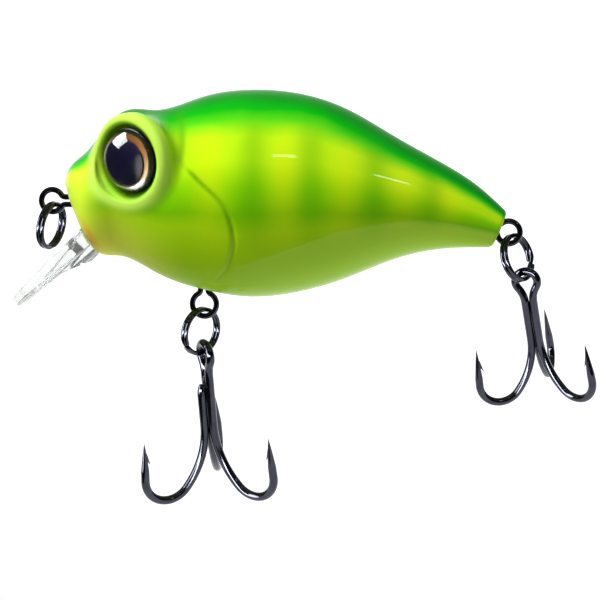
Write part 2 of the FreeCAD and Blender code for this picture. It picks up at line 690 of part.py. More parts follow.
def build_treble(word, pose):
    """A double hook bent from one wire with the eye at its middle, and a single hook brazed to it."""
    wire = dims[f"{word}_hook_wire"]
    shank_radius = wire / math.sqrt(3) * dims["shank_spread"]
    neck = shank_radius * math.sin(math.radians(60))
    offset = shank_radius * math.cos(math.radians(60))
    eye, bend = dims[f"{word}_hook_eye"], dims["hook_eye_bend"]
    eye_centre = dims["ring_wire"] / 2 + dims["link_gap"] + wire / 2 - eye
    reach, meet_u, meet_v = neck_points(eye, neck, bend)
    shank_top = eye_centre - reach

    def place(down, across):
        return V(offset, across, eye_centre - down)

    eye_angle = math.degrees(math.atan2(meet_v, meet_u))
    eye_edges = [
        arc_through(place, (reach, neck + bend), bend, -90, eye_angle - 180),
        arc_through(place, (0, 0), eye, eye_angle, 360 - eye_angle),
        arc_through(place, (reach, -neck - bend), bend, 180 - eye_angle, 90),
    ]
    first_edges, first_tools = hook_arm(word, 60, shank_top, shank_radius)
    second_edges, second_tools = hook_arm(word, -60, shank_top, shank_radius)
    path = list(reversed(first_edges)) + eye_edges + second_edges
    double = wire_solid(path, wire).fuse(first_tools + second_tools).removeSplitter()
    single_edges, single_tools = hook_arm(word, 180, shank_top - wire, shank_radius)
    single = wire_solid(single_edges, wire).fuse(single_tools).removeSplitter()
    pieces = []
    for kind, shape in (("double", double), ("single", single)):
        piece = doc.addObject("Part::Feature", f"{word}_treble_{kind}_hook")
        piece.Label = f"{word}_treble_{kind}_hook"
        piece.Shape = shape
        piece.Placement = pose
        pieces.append(piece)
    return pieces


# ---- assembly -----------------------------------------------------------------------------------------
nodes = build_shells()
lip = lip_solid("diving_lip", 0)
nodes.append(lip)
for eye_word, eye_side in SIDES.items():
    nodes.extend(build_eye(eye_word, eye_side))
for hanger_word, (hanger_place, hanger_length) in hanger_frames().items():
    nodes.append(build_hanger(hanger_word, hanger_place, hanger_length))

eye_centres = {
    "nose": ORIGIN,
    "belly": V(dims["belly_eye_x"], 0, dims["belly_eye_z"]),
    "tail": V(dims["tail_eye_x"], 0, dims["tail_eye_z"]),
}
ring_poses = {}
for ring_word, eye_centre in eye_centres.items():
    ring_poses[ring_word] = ring_pose(ring_word, eye_centre)
    nodes.append(build_ring(ring_word, ring_poses[ring_word], f"{ring_word}_ring_radius"))
for treble_word in ("belly", "tail"):
    nodes.extend(build_treble(treble_word, treble_pose(treble_word, ring_poses[treble_word])))

ballast = make("Part::Sphere", "ballast_weight", {"Radius": "dimensions.ballast_radius",
                                                  **at(x="dimensions.ballast_x", z="dimensions.ballast_z")})
nodes.append(ballast)
ball_height = "dimensions.shelf_z + dimensions.ball_radius + dimensions.ball_gap"
for ball_word, ahead, behind in (("front", "front", "middle"), ("rear", "middle", "rear")):
    middle = f"(dimensions.rib_{ahead}_x + dimensions.rib_thickness + dimensions.rib_{behind}_x) / 2"
    nodes.append(make("Part::Sphere", f"{ball_word}_rattle_ball",
                      {"Radius": "dimensions.ball_radius",
                       **at(x=middle, z=ball_height)}))

doc.recompute()

# ---- checks and export --------------------------------------------------------------------------------
for item in doc.Objects:
    if "Invalid" in item.State or "Error" in item.State:
        raise RuntimeError(f"{item.Label} failed: {item.State}")
for node in nodes:
    shape = node.Shape
    if shape.isNull() or not shape.isValid() or not shape.Solids:
        raise RuntimeError(f"{node.Label} has no valid solid")
    print(f"{node.Label:28s} solids {len(shape.Solids)} volume {shape.Volume:9.3f}")

os.makedirs("parts", exist_ok=True)
for node in nodes:
    node.Shape.exportStep(f"parts/{node.Label}.step")
for ring_word, (centre, normal, outward) in ring_poses.items():
    print(ring_word, "ring centre", tuple(centre), "normal", tuple(normal))
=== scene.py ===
"""Crankbait lure: smooth painted body, eyes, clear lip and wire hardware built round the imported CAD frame.

Everything is in the CAD frame: nose towards -X, tail towards +X, up +Z, origin at the nose wire eye.
Formulas work in millimetres, and meshes are scaled to metres by MM when they are made.
"""

import json
from math import asin, atan2, cos, degrees, dist, hypot, pi, radians, sin, sqrt, tan

import bmesh
import bpy
import numpy as np
from mathutils import Matrix, Vector

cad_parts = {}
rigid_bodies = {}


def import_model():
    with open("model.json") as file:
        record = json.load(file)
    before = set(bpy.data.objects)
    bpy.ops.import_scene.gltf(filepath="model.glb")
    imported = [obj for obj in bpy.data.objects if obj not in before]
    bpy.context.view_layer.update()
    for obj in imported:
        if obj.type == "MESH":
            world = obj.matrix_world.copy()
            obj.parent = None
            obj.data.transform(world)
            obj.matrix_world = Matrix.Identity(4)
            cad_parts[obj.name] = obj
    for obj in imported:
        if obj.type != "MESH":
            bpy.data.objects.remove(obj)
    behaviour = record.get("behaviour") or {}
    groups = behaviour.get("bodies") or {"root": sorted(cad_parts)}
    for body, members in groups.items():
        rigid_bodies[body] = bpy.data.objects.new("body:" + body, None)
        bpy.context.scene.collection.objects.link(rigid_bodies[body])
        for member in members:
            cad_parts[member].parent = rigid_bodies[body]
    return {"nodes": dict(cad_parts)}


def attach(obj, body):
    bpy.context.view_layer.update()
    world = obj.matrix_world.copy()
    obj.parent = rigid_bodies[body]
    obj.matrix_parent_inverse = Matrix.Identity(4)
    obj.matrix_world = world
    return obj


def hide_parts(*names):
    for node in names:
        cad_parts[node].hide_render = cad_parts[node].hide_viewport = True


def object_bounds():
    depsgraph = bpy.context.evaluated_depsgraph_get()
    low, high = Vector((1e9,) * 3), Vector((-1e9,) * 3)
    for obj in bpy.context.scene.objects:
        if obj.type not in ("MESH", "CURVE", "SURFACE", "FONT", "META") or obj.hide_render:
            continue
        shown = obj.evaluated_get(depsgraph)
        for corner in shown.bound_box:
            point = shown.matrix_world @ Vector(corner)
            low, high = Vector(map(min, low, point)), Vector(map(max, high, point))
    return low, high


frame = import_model()
cad_box = [list(corner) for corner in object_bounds()]
scene = bpy.context.scene

MM = 0.001
SIDES = {"left": -1.0, "right": 1.0}

# ---- body outline: place, top, bottom and half width of each cross-section ----
STATIONS = (
    (1.4, 2.7, 0.9, 0.85),
    (2.2, 3.6, -0.9, 2.2),
    (3.5, 4.7, -3.8, 3.7),
    (6.5, 8.1, -5.2, 4.7),
    (10.0, 8.55, -6.75, 5.75),
    (14.5, 9.75, -8.3, 6.95),
    (19.0, 10.4, -8.95, 7.45),
    (23.5, 10.05, -8.45, 7.15),
    (28.0, 8.6, -7.1, 6.4),
    (32.5, 6.05, -5.3, 5.1),
    (37.0, 3.55, -4.3, 3.6),
    (40.5, 1.25, -4.15, 2.35),
    (42.9, -0.95, -4.1, 1.4),
)
WALL = 1.0
NOSE_PLANE = 1.3
NOSE_ROUND = 0.8
TAIL_FACE = (42.15, -2.5)
TAIL_SLANT = radians(22.5)
TAIL_ROUND = 0.35

# ---- eye mound and socket, measured along and across the eye's own axis ----
EYE_FACE = np.array((8.4, 5.45, 3.88))
EYE_AHEAD = radians(31.0)
EYE_DOWN = radians(6.0)
MOUND_FACE = 2.2
MOUND_RADIUS = 4.3
MOUND_ROOT_RADIUS = 3.2
MOUND_ROOT = -2.4
MOUND_SHOULDER = 0.9
MOUND_ROUND = 0.7
MOUND_BLEND = 1.1
SOCKET_MOUTH = 3.5
SOCKET_FLOOR = 3.05
SOCKET_DEPTH = 0.6
SOCKET_FLARE = 1.3
SOCKET_ROUND = 0.22
EYE_RADIUS = 2.92
SEAT_DEPTH = 0.2
SEAT_THICKNESS = 0.45
IRIS_RADIUS = 2.18
PUPIL_RADIUS = 1.84
PUPIL_PLACE = (0.34, 0.14)
LENS_HEIGHT = 2.0
BOND = 0.16
FILM_LIFT = 0.22
PUPIL_LIFT = 0.36
PUPIL_LAP = 0.05
# iris film, from the pupil outwards and back underneath: share of the way out, and height
IRIS_DISH = ((0.0, 0.0), (0.0, 0.06), (0.15, 0.09), (0.5, 0.15), (0.85, 0.19), (1.0, 0.2), (1.0, 0.02))

# ---- gill plate line on each side, as places along X and Z, and the paint's soft bars ----
GILL_LINE = (
    (13.85, 3.5), (15.4, 1.9), (17.0, 0.4), (17.9, -1.0),
    (18.25, -2.6), (18.1, -4.2), (17.35, -5.8), (16.3, -7.0),
)
GILL_SAMPLES = 90
GILL_ENDS = (-7.6, 3.9)
GILL_FADE = 1.5
GILL_WIDTH = 0.2
GILL_DEPTH = 0.16
GILL_STEP = 0.14
BAR_PLACES = (20.0, 25.1, 30.8, 35.9)
BAR_WIDTH = 1.25
YELLOW_PLACES = (16.2, 22.9, 28.2, 33.4, 37.2)
YELLOW_WIDTH = 1.6
RIM_CREST = 4.05
VALLEY_RADIUS = 4.65
EYE_REACH = -3.4
THROAT = (4.3, -3.2)

# ---- grids: steps, lowest and highest corners, and the solid parts left round the cavity ----
SKIN_STEP = 0.14
SKIN_BOX = ((0.7, -9.6, -9.7), (43.6, 9.6, 11.3))
CAVITY_STEP = 0.45
CAVITY_BOX = ((6.0, -8.5, -9.0), (39.5, 8.5, 10.0))
CAVITY_ENDS = (7.0, 38.0)
EYE_WALL_HEIGHT = 0.2
EYE_WALL_RADIUS = 4.6


# ---- smooth shapes as distance fields ----
def spline(xs, ys):
    """Natural cubic curve through the given points, as a function of place."""
    xs, ys = np.array(xs), np.array(ys)
    gaps = np.diff(xs)
    slopes = np.diff(ys) / gaps
    matrix = np.eye(len(xs))
    right = np.zeros(len(xs))
    for i in range(1, len(xs) - 1):
        matrix[i, i - 1 : i + 2] = gaps[i - 1], 2 * (gaps[i - 1] + gaps[i]), gaps[i]
        right[i] = 6 * (slopes[i] - slopes[i - 1])
    bends = np.linalg.solve(matrix, right)

    def value(x):
        x = np.clip(x, xs[0], xs[-1])
        i = np.clip(np.searchsorted(xs, x) - 1, 0, len(gaps) - 1)
        gap = gaps[i]
        before, after = xs[i + 1] - x, x - xs[i]
        return (
            (bends[i] * before**3 + bends[i + 1] * after**3) / (6 * gap)
            + (ys[i] / gap - bends[i] * gap / 6) * before
            + (ys[i + 1] / gap - bends[i + 1] * gap / 6) * after
        )

    return value


PLACES, TOPS, BOTTOMS, HALVES = zip(*STATIONS)
top_at, bottom_at, half_at = spline(PLACES, TOPS), spline(PLACES, BOTTOMS), spline(PLACES, HALVES)


def clamped(value):
    return np.clip(value, 0, 1)


def bell(away, width):
    """Soft bump: 1 at no distance away, fading over the width."""
    return np.exp(-((away / width) ** 2))


def soft_min(a, b, blend):
    share = np.maximum(blend - np.abs(a - b), 0) / blend
    return np.minimum(a, b) - share * share * blend / 4


def soft_max(a, b, blend):
    return -soft_min(-a, -b, blend)


def section_radius(x, y, z, inset=0.0):
    """Distance from the body's axis as a share of the elliptical section there."""
    top, bottom, half = top_at(x) - inset, bottom_at(x) + inset, half_at(x) - inset
    return np.sqrt((y / half) ** 2 + ((z - (top + bottom) / 2) * 2 / (top - bottom)) ** 2)


def hull_field(x, y, z, inset=0.0):
    """Nearly the distance outside the hull, with its rounded nose and slanted tail face."""
    probe, least_slope = 0.05, 0.05
    rho = section_radius(x, y, z, inset)
    steps = (
        section_radius(x + probe, y, z, inset) - section_radius(x - probe, y, z, inset),
        section_radius(x, y + probe, z, inset) - section_radius(x, y - probe, z, inset),
        section_radius(x, y, z + probe, inset) - section_radius(x, y, z - probe, inset),
    )
    slope = np.sqrt(sum(step * step for step in steps)) / (2 * probe)
    away = (rho - 1) / np.maximum(slope, least_slope)
    away = soft_max(away, NOSE_PLANE + inset - x, NOSE_ROUND)
    tail = (x - TAIL_FACE[0]) * cos(TAIL_SLANT) - (z - TAIL_FACE[1]) * sin(TAIL_SLANT)
    return soft_max(away, tail + inset, TAIL_ROUND)


def eye_axis(side):
    level = cos(EYE_DOWN)
    return np.array((-sin(EYE_AHEAD) * level, side * cos(EYE_AHEAD) * level, -sin(EYE_DOWN)))


def eye_place(side, height):
    """Point on an eye's axis, at a height above the root of its mound."""
    face = EYE_FACE * np.array((1.0, side, 1.0))
    return face + eye_axis(side) * (height - MOUND_FACE)


def eye_coordinates(x, y, z, side):
    """Distance from an eye's axis, and height along it."""
    axis, root = eye_axis(side), eye_place(side, 0.0)
    across = (x - root[0], y - root[1], z - root[2])
    height = sum(part * way for part, way in zip(across, axis))
    square = sum(part * part for part in across) - height * height
    return np.sqrt(np.maximum(square, 0)), height


def mound_field(radius, height):
    """Rounded boss that widens from its root to its shoulder."""
    share = clamped((height - MOUND_ROOT) / (MOUND_SHOULDER - MOUND_ROOT))
    wide = MOUND_ROOT_RADIUS + (MOUND_RADIUS - MOUND_ROOT_RADIUS) * share
    side, top = radius - wide + MOUND_ROUND, height - MOUND_FACE + MOUND_ROUND
    outside = np.sqrt(np.maximum(side, 0) ** 2 + np.maximum(top, 0) ** 2)
    return np.maximum(outside + np.minimum(np.maximum(side, top), 0) - MOUND_ROUND, MOUND_ROOT - height)


def socket_field(radius, height):
    """The room cut for an eye: a sloped recess, open to the outside."""
    floor = MOUND_FACE - SOCKET_DEPTH
    spread = (SOCKET_MOUTH - SOCKET_FLOOR) / SOCKET_DEPTH
    wide = SOCKET_FLOOR + np.clip(height - floor, 0, SOCKET_DEPTH * SOCKET_FLARE) * spread
    return np.maximum((radius - wide) / hypot(1, spread), floor - height)


def gill_distance(x, z):
    """Distance from the gill line, signed: positive ahead of it."""
    places, heights = np.array(GILL_LINE).T
    run = np.arange(len(places))
    fine = np.linspace(0, len(places) - 1, GILL_SAMPLES)
    line_x, line_z = spline(run, places)(fine), spline(run, heights)(fine)
    apart = np.hypot(x[:, None] - line_x, z[:, None] - line_z)
    nearest = np.argmin(apart, axis=1)
    ahead = np.interp(z, line_z[::-1], line_x[::-1]) - x
    return apart[np.arange(len(x)), nearest], np.sign(ahead)


def skin_field(x, y, z):
    """Outside of the whole body: hull, eye mounds and sockets."""
    away = hull_field(x, y, z)
    eyes = [eye_coordinates(x, y, z, side) for side in SIDES.values()]
    for radius, height in eyes:
        away = soft_min(away, mound_field(radius, height), MOUND_BLEND)
    for radius, height in eyes:
        away = soft_max(away, -socket_field(radius, height), SOCKET_ROUND)
    return away


def cavity_field(x, y, z):
    """Hollow inside the shells, kept clear of the sockets, nose and tail."""
    away = hull_field(x, y, z, WALL)
    for side in SIDES.values():
        radius, height = eye_coordinates(x, y, z, side)
        away = np.maximum(away, np.minimum(height - EYE_WALL_HEIGHT, EYE_WALL_RADIUS - radius))
    return np.maximum(away, np.maximum(CAVITY_ENDS[0] - x, x - CAVITY_ENDS[1]))


def surface_net(field, low, high, step):
    """Quads through a field's zero level, with one vertex in each grid cell that it crosses."""
    axes = [np.arange(lo, hi + step, step) for lo, hi in zip(low, high)]
    slabs = []
    grid_y, grid_z = axes[1][None, :, None], axes[2][None, None, :]
    for x in axes[0]:
        slabs.append(field(np.array([[[x]]]), grid_y, grid_z).astype(np.float32))
    values = np.concatenate(slabs)
    inside = values < 0
    cells = np.zeros(tuple(n - 1 for n in values.shape), np.int8)
    corners = [(i, j, k) for i in (0, 1) for j in (0, 1) for k in (0, 1)]
    for i, j, k in corners:
        cells += inside[i : i + cells.shape[0], j : j + cells.shape[1], k : k + cells.shape[2]]
    crossed = np.argwhere((cells > 0) & (cells < 8))
    number = np.full(cells.shape, -1, np.int32)
    number[tuple(crossed.T)] = np.arange(len(crossed))
    total, count = np.zeros((len(crossed), 3)), np.zeros(len(crossed))
    units = np.eye(3, dtype=int)
    for axis in range(3):
        for corner in corners:
            if corner[axis]:
                continue
            start = crossed + np.array(corner)
            first, second = values[tuple(start.T)], values[tuple((start + units[axis]).T)]
            cut = (first < 0) != (second < 0)
            share = np.where(cut, first / np.where(cut, first - second, 1), 0)
            total += np.where(cut[:, None], start + share[:, None] * units[axis], 0)
            count += cut
    points = total / count[:, None] * step + np.array([a[0] for a in axes])
    quads = []
    for axis in range(3):
        u, v = units[(axis + 1) % 3], units[(axis + 2) % 3]
        near = np.take(inside, range(inside.shape[axis] - 1), axis)
        far = np.take(inside, range(1, inside.shape[axis]), axis)
        for flip in (False, True):
            edge = np.argwhere(near & ~far if flip else far & ~near)
            edge = edge[(edge @ u > 0) & (edge @ v > 0)]
            ring = [number[tuple((edge - shift).T)] for shift in (u + v, v, 0 * u, u)]
            quads.append(np.stack(ring if flip else ring[::-1], 1))
    return points, np.concatenate(quads)


def settled(points, field, rounds=3, limit=0.08):
    """Points moved onto the field's zero level."""
    probe = 0.01
    for _ in range(rounds):
        value = field(*points.T)
        slope = np.stack(
            [(field(*(points + d).T) - field(*(points - d).T)) / (2 * probe) for d in np.eye(3) * probe], 1
        )
        step = slope * (value / np.maximum((slope**2).sum(1), 0.1))[:, None]
        points = points - np.clip(step, -limit, limit)
    return points


def relaxed(points, quads):
    """Points drawn to the mean of their neighbours, which evens out the mesh."""
    total, count = np.zeros_like(points), np.zeros(len(points))
    for i in range(4):
        a, b = quads[:, i], quads[:, (i + 1) % 4]
        np.add.at(total, a, points[b])
        np.add.at(count, a, 1)
        np.add.at(total, b, points[a])
        np.add.at(count, b, 1)
    own_share = 0.4
    return points * own_share + total / count[:, None] * (1 - own_share)


def engraved(points):
    """Points with the gill line pressed in and the cheek ahead of it standing proud."""
    near = (points[:, 0] > 9) & (points[:, 0] < 22) & (np.abs(points[:, 1]) > 3.2)
    near &= (points[:, 2] < 4.6) & (points[:, 2] > -8.2)
    x, y, z = points[near].T
    apart, ahead = gill_distance(x, z)
    fade = clamped((GILL_ENDS[1] - z) / GILL_FADE) * clamped((z - GILL_ENDS[0]) / GILL_FADE)
    press = -GILL_DEPTH * bell(apart, GILL_WIDTH) * np.clip((z + 6.5) / 4, 0.25, 1)
    proud = np.where(ahead > 0, GILL_STEP * np.exp(-apart / 1.6) * (1 - bell(apart, 0.25)), 0)
    centre = np.stack([x, 0 * y, (top_at(x) + bottom_at(x)) / 2], 1)
    outward = points[near] - centre
    outward /= np.linalg.norm(outward, axis=1)[:, None]
    moved = points.copy()
    moved[near] += outward * ((press + proud) * fade)[:, None]
    return moved


# ---- mesh helpers ----
def placed(name, data):
    made = bpy.data.objects.new(name, data)
    scene.collection.objects.link(made)
    return made


def axes_matrix(x, y, z, origin):
    """Place whose own axes are the three given ways."""
    matrix = Matrix((x, y, z)).transposed().to_4x4()
    matrix.translation = origin
    return matrix


def bridge(bm, low, high):
    """Quads between two closed rings of vertices."""
    for i in range(len(low)):
        j = (i + 1) % len(low)
        bm.faces.new((low[i], low[j], high[j], high[i]))


def link(name, mesh, material, body, replaces=()):
    """A finished piece: its mesh, material and the body it rides on."""
    piece = placed(name, mesh)
    mesh.materials.append(material)
    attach(piece, body)
    if replaces:
        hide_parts(*replaces)
    return piece


def smooth_mesh(bm, name, sharp_angle=50.0):
    """A mesh in metres from a bmesh in millimetres, smooth but for its sharp edges."""
    bmesh.ops.recalc_face_normals(bm, faces=bm.faces)
    bmesh.ops.scale(bm, vec=(MM, MM, MM), verts=bm.verts)
    mesh = bpy.data.meshes.new(name)
    bm.to_mesh(mesh)
    bm.free()
    mesh.shade_smooth()
    mesh.set_sharp_from_angle(angle=radians(sharp_angle))
    return mesh


def lathe(profile, segments=96):
    """Closed solid turned from (radius, height) points that start and end on the axis."""
    bm = bmesh.new()
    rings = []
    for radius, height in profile:
        if radius == 0:
            rings.append([bm.verts.new((0, 0, height))])
            continue
        turns = [2 * pi * i / segments for i in range(segments)]
        rings.append([bm.verts.new((radius * cos(t), radius * sin(t), height)) for t in turns])
    for low, high in zip(rings, rings[1:]):
        for i in range(segments):
            j = (i + 1) % segments
            start = low if len(low) == 1 else [low[i], low[j]]
            end = high if len(high) == 1 else [high[j], high[i]]
            bm.faces.new(start + end)
    return bm


def turned_ring(profile, segments=96):
    """Closed ring turned from a loop of (radius, height) points."""
    bm = bmesh.new()
    loops = []
    for i in range(segments):
        turn = 2 * pi * i / segments
        loops.append([bm.verts.new((r * cos(turn), r * sin(turn), h)) for r, h in profile])
    count = len(profile)
    for i in range(segments):
        here, there = loops[i], loops[(i + 1) % segments]
        for j in range(count):
            k = (j + 1) % count
            bm.faces.new((here[j], there[j], there[k], here[k]))
    return bm


def arc(centre, radius, start, end, step=6.0):
    """Points of a circular arc in a plane, angles in degrees."""
    count = max(3, int(abs(end - start) / step) + 1)
    turns = np.radians(np.linspace(start, end, count))
    return [(centre[0] + radius * cos(t), centre[1] + radius * sin(t)) for t in turns]


def joined(*runs):
    """Runs of points in a row, without the doubled points where they meet."""
    points = []
    for run in runs:
        for point in run:
            if not points or dist(point, points[-1]) > 1e-4:
                points.append(point)
    return points


# a wire's domed end, in shares of its radius: size and rise of its inner ring, and rise of its tip
END_RING = 0.7
END_RISE = 0.16
END_TIP = 0.24


def wire(bm, path, radii, sides=20, flat=1.0, flat_way=None):
    """Adds a round wire swept along a path, closed by domed ends, to a bmesh."""
    path = [Vector(p) for p in path]
    if not hasattr(radii, "__len__"):
        radii = [radii] * len(path)
    tangents = []
    for i in range(len(path)):
        ahead, behind = path[min(i + 1, len(path) - 1)], path[max(i - 1, 0)]
        tangents.append((ahead - behind).normalized())
    across = flat_way.copy() if flat_way else tangents[0].orthogonal()
    across = (across - tangents[0] * across.dot(tangents[0])).normalized()
    rings = []
    for i, (point, tangent, radius) in enumerate(zip(path, tangents, radii)):
        if i:
            across = tangents[i - 1].rotation_difference(tangent) @ across
        over = tangent.cross(across)
        ring = []
        for k in range(sides):
            turn = 2 * pi * k / sides
            spot = point + across * (radius * cos(turn))
            ring.append(bm.verts.new(spot + over * (radius * flat * sin(turn))))
        rings.append(ring)
    for low, high in zip(rings, rings[1:]):
        bridge(bm, low, high)
    for ring, way, radius, point in (
        (rings[0], -tangents[0], radii[0], path[0]),
        (rings[-1], tangents[-1], radii[-1], path[-1]),
    ):
        inner = [bm.verts.new(point + (v.co - point) * END_RING + way * radius * END_RISE) for v in ring]
        tip = bm.verts.new(point + way * radius * END_TIP)
        bridge(bm, ring, inner)
        for k in range(sides):
            bm.faces.new((inner[k], inner[(k + 1) % sides], tip))


# ---- materials ----
class Nodes:
    """Node tree of a new material, or of a given world, with short ways to add and join nodes."""

    def __init__(self, name, world=None):
        self.material = world or bpy.data.materials.new(name)
        self.material.use_nodes = True
        self.tree = self.material.node_tree
        self.shader = self.tree.nodes["Background" if world else "Principled BSDF"]

    def add(self, kind, inputs=None, **settings):
        node = self.tree.nodes.new(kind)
        for key, value in settings.items():
            setattr(node, key, value)
        for key, value in (inputs or {}).items():
            self.feed(value, node.inputs[key])
        return node

    def feed(self, value, socket):
        if isinstance(value, bpy.types.NodeSocket):
            self.tree.links.new(value, socket)
        else:
            socket.default_value = value

    def set(self, **inputs):
        for key, value in inputs.items():
            self.feed(value, self.shader.inputs[key.replace("_", " ")])

    def math(self, operation, a, b):
        return self.add("ShaderNodeMath", {0: a, 1: b}, operation=operation).outputs[0]

    def varied(self, base, value, gain):
        """A base number plus a share of a varying value."""
        return self.math("ADD", base, self.math("MULTIPLY", value, gain))

    def mix(self, factor, a, b, blend="MIX"):
        """Two colours mixed. 6 and 7 are the node's colour inputs, and 2 is its colour output."""
        node = self.add("ShaderNodeMix", data_type="RGBA", blend_type=blend)
        for index, value in ((0, factor), (6, a), (7, b)):
            self.feed(value, node.inputs[index])
        return node.outputs[2]

    def ramp(self, value, *stops):
        node = self.add("ShaderNodeValToRGB", {"Fac": value})
        ramp = node.color_ramp
        while len(ramp.elements) < len(stops):
            ramp.elements.new(0.5)
        for element, (place, colour) in zip(ramp.elements, stops):
            element.position = place
            element.color = colour if len(colour) == 4 else (*colour, 1.0)
        return node.outputs["Color"]

    def range(self, value, low, high, smooth=True, top=1.0):
        node = self.add(
            "ShaderNodeMapRange", {"Value": value, "From Min": low, "From Max": high, "To Max": top},
            interpolation_type="SMOOTHSTEP" if smooth else "LINEAR",
        )
        return node.outputs["Result"]

    def attribute(self, name):
        return self.add("ShaderNodeAttribute", attribute_name=name).outputs["Fac"]

    def place(self):
        """Position on the piece in millimetres."""
        coordinates = self.add("ShaderNodeTexCoord").outputs["Object"]
        scaled = self.add("ShaderNodeVectorMath", {0: coordinates, "Scale": 1 / MM}, operation="SCALE")
        return scaled.outputs[0]

    def noise(self, vector, scale, detail=3.0, roughness=0.5):
        node = self.add(
            "ShaderNodeTexNoise", {"Vector": vector, "Scale": scale, "Detail": detail, "Roughness": roughness}
        )
        return node.outputs["Fac"]

    def bump(self, height, strength, distance=MM * 0.05):
        node = self.add("ShaderNodeBump", {"Height": height, "Strength": strength, "Distance": distance})
        return node.outputs["Normal"]


def linear(red, green, blue):
    """An sRGB colour, 0 to 255, as the linear RGBA that a shader takes."""
    parts = [c / 255 for c in (red, green, blue)]
    return (*(c / 12.92 if c <= 0.04045 else ((c + 0.055) / 1.055) ** 2.4 for c in parts), 1.0)


# dark green of the painted shade in the valley round each eye mound, also used to darken the pressed gill
# line
VALLEY_GREEN = linear(80, 150, 6)
# side of the body from belly to ridge: how far up each tone lies. The sides darken low down and brighten
# towards the shoulders, partly as airbrushed tone and partly as painted shade and light from above
CROWN_TONES = (
    (0.34, linear(155, 203, 14)),
    (0.42, linear(112, 184, 4)),
    (0.54, linear(132, 212, 4)),
    (0.67, linear(186, 240, 16)),
    (0.78, linear(186, 240, 16)),
    (0.86, linear(84, 208, 20)),
    (0.91, linear(2, 176, 10)),
    (0.97, linear(2, 138, 20)),
)
# tones laid over the sides in this order: mask, strength and colour
PAINT_COATS = (
    ("yellow", 0.4, linear(236, 244, 16)),
    ("bars", 0.4, linear(70, 160, 2)),
    # painted light: paler yellow on the snout's sides, where they face the light
    ("snout", 1.0, linear(216, 244, 60)),
    # painted light: pale yellow under the head, standing in for the light under the snout
    ("chin", 1.0, linear(244, 240, 90)),
    ("throat", 1.0, linear(226, 120, 20)),
    # painted highlight: pale ring along the crest of each eye mound
    ("rim", 1.0, linear(200, 248, 92)),
    # painted shade: dark olive on the socket walls, where the recess is in shadow
    ("socket", 1.0, linear(58, 96, 6)),
    # painted shade in the valley round each eye mound
    ("valley", 1.0, VALLEY_GREEN),
    ("gill", 0.75, VALLEY_GREEN),
)


def body_paint():
    """Lime sides that brighten upwards, partly as painted light from above, green back, faint bars and a
    thick clear coat.
    """
    n = Nodes("body_paint")
    place = n.place()
    cloud = n.noise(place, 0.22, 2.0)
    grain = n.noise(place, 9.0, 2.0)
    wander = n.math("MULTIPLY", n.math("SUBTRACT", cloud, 0.5), 0.06)
    crown = n.math("ADD", n.attribute("crown"), wander)
    paint = n.ramp(crown, *CROWN_TONES)
    for mask, strength, colour in PAINT_COATS:
        factor = n.attribute(mask)
        if strength < 1:
            factor = n.math("MULTIPLY", factor, strength)
        paint = n.mix(factor, paint, colour)
    flake = n.varied(0.96, grain, 0.08)
    flakes = n.add("ShaderNodeCombineColor", {0: flake, 1: flake, 2: flake}).outputs[0]
    paint = n.mix(1.0, paint, flakes, "MULTIPLY")
    n.set(Base_Color=paint, Roughness=n.varied(0.35, grain, 0.1), Specular_IOR_Level=0.05)
    n.set(Coat_Weight=n.math("MULTIPLY", n.attribute("gloss"), 0.42), Coat_Roughness=0.03, Coat_IOR=1.4)
    n.set(Normal=n.bump(n.noise(place, 2.2, 1.0), 0.05))
    return n.material


def lens_plastic():
    """Clear polished dome with faint flow marks."""
    n = Nodes("eye_lens")
    n.set(Base_Color=(1.0, 1.0, 1.0, 1.0), Transmission_Weight=1.0, IOR=1.34, Specular_IOR_Level=0.3)
    n.set(Roughness=n.math("MULTIPLY", n.noise(n.place(), 1.2, 3.0), 0.03))
    n.set(Normal=n.bump(n.noise(n.place(), 0.8, 2.0), 0.03))
    return n.material


def lip_plastic():
    """Clear moulded lip, a little hazy, with flow lines that run from its root to its tip."""
    n = Nodes("clear_lip")
    place = n.place()
    stretched = n.add("ShaderNodeMapping", {"Vector": place, "Scale": (0.5, 1.6, 0.5)}).outputs[0]
    flow = n.noise(stretched, 1.0, 3.0)
    tint = n.ramp(flow, (0.3, linear(238, 243, 242)), (0.7, linear(250, 252, 252)))
    # painted shade: the lip's tint darkens to grey where it is seen edge-on, standing in for the dark
    # outlines at its edges
    edge = n.add("ShaderNodeLayerWeight", {"Blend": 0.35}).outputs["Facing"]
    tint = n.mix(n.range(edge, 0.45, 1.0), tint, linear(112, 120, 122))
    n.set(Base_Color=tint, Transmission_Weight=0.9, IOR=1.42)
    n.set(Roughness=n.varied(0.02, flow, 0.08), Normal=n.bump(flow, 0.08))
    return n.material


def black_nickel():
    """Dark plated wire: nearly a mirror, with fine drawing marks."""
    n = Nodes("black_nickel")
    place = n.place()
    marks = n.noise(place, 6.0, 4.0, 0.6)
    tone = n.ramp(n.noise(place, 0.7, 2.0), (0.3, linear(48, 49, 60)), (0.7, linear(64, 65, 76)))
    n.set(Base_Color=tone, Metallic=1.0, Roughness=n.varied(0.06, marks, 0.1))
    n.set(Coat_Weight=0.3, Coat_Roughness=0.04)
    n.set(Normal=n.bump(marks, 0.08, MM * 0.02))
    return n.material


def speckled(name, grain, tones, roughness, **settings):
    """Plain finish with a fine speckle in its tone and roughness."""
    n = Nodes(name)
    speck = n.noise(n.place(), *grain)
    n.set(Base_Color=n.ramp(speck, *tones), Roughness=n.varied(roughness[0], speck, roughness[1]), **settings)
    return n.material


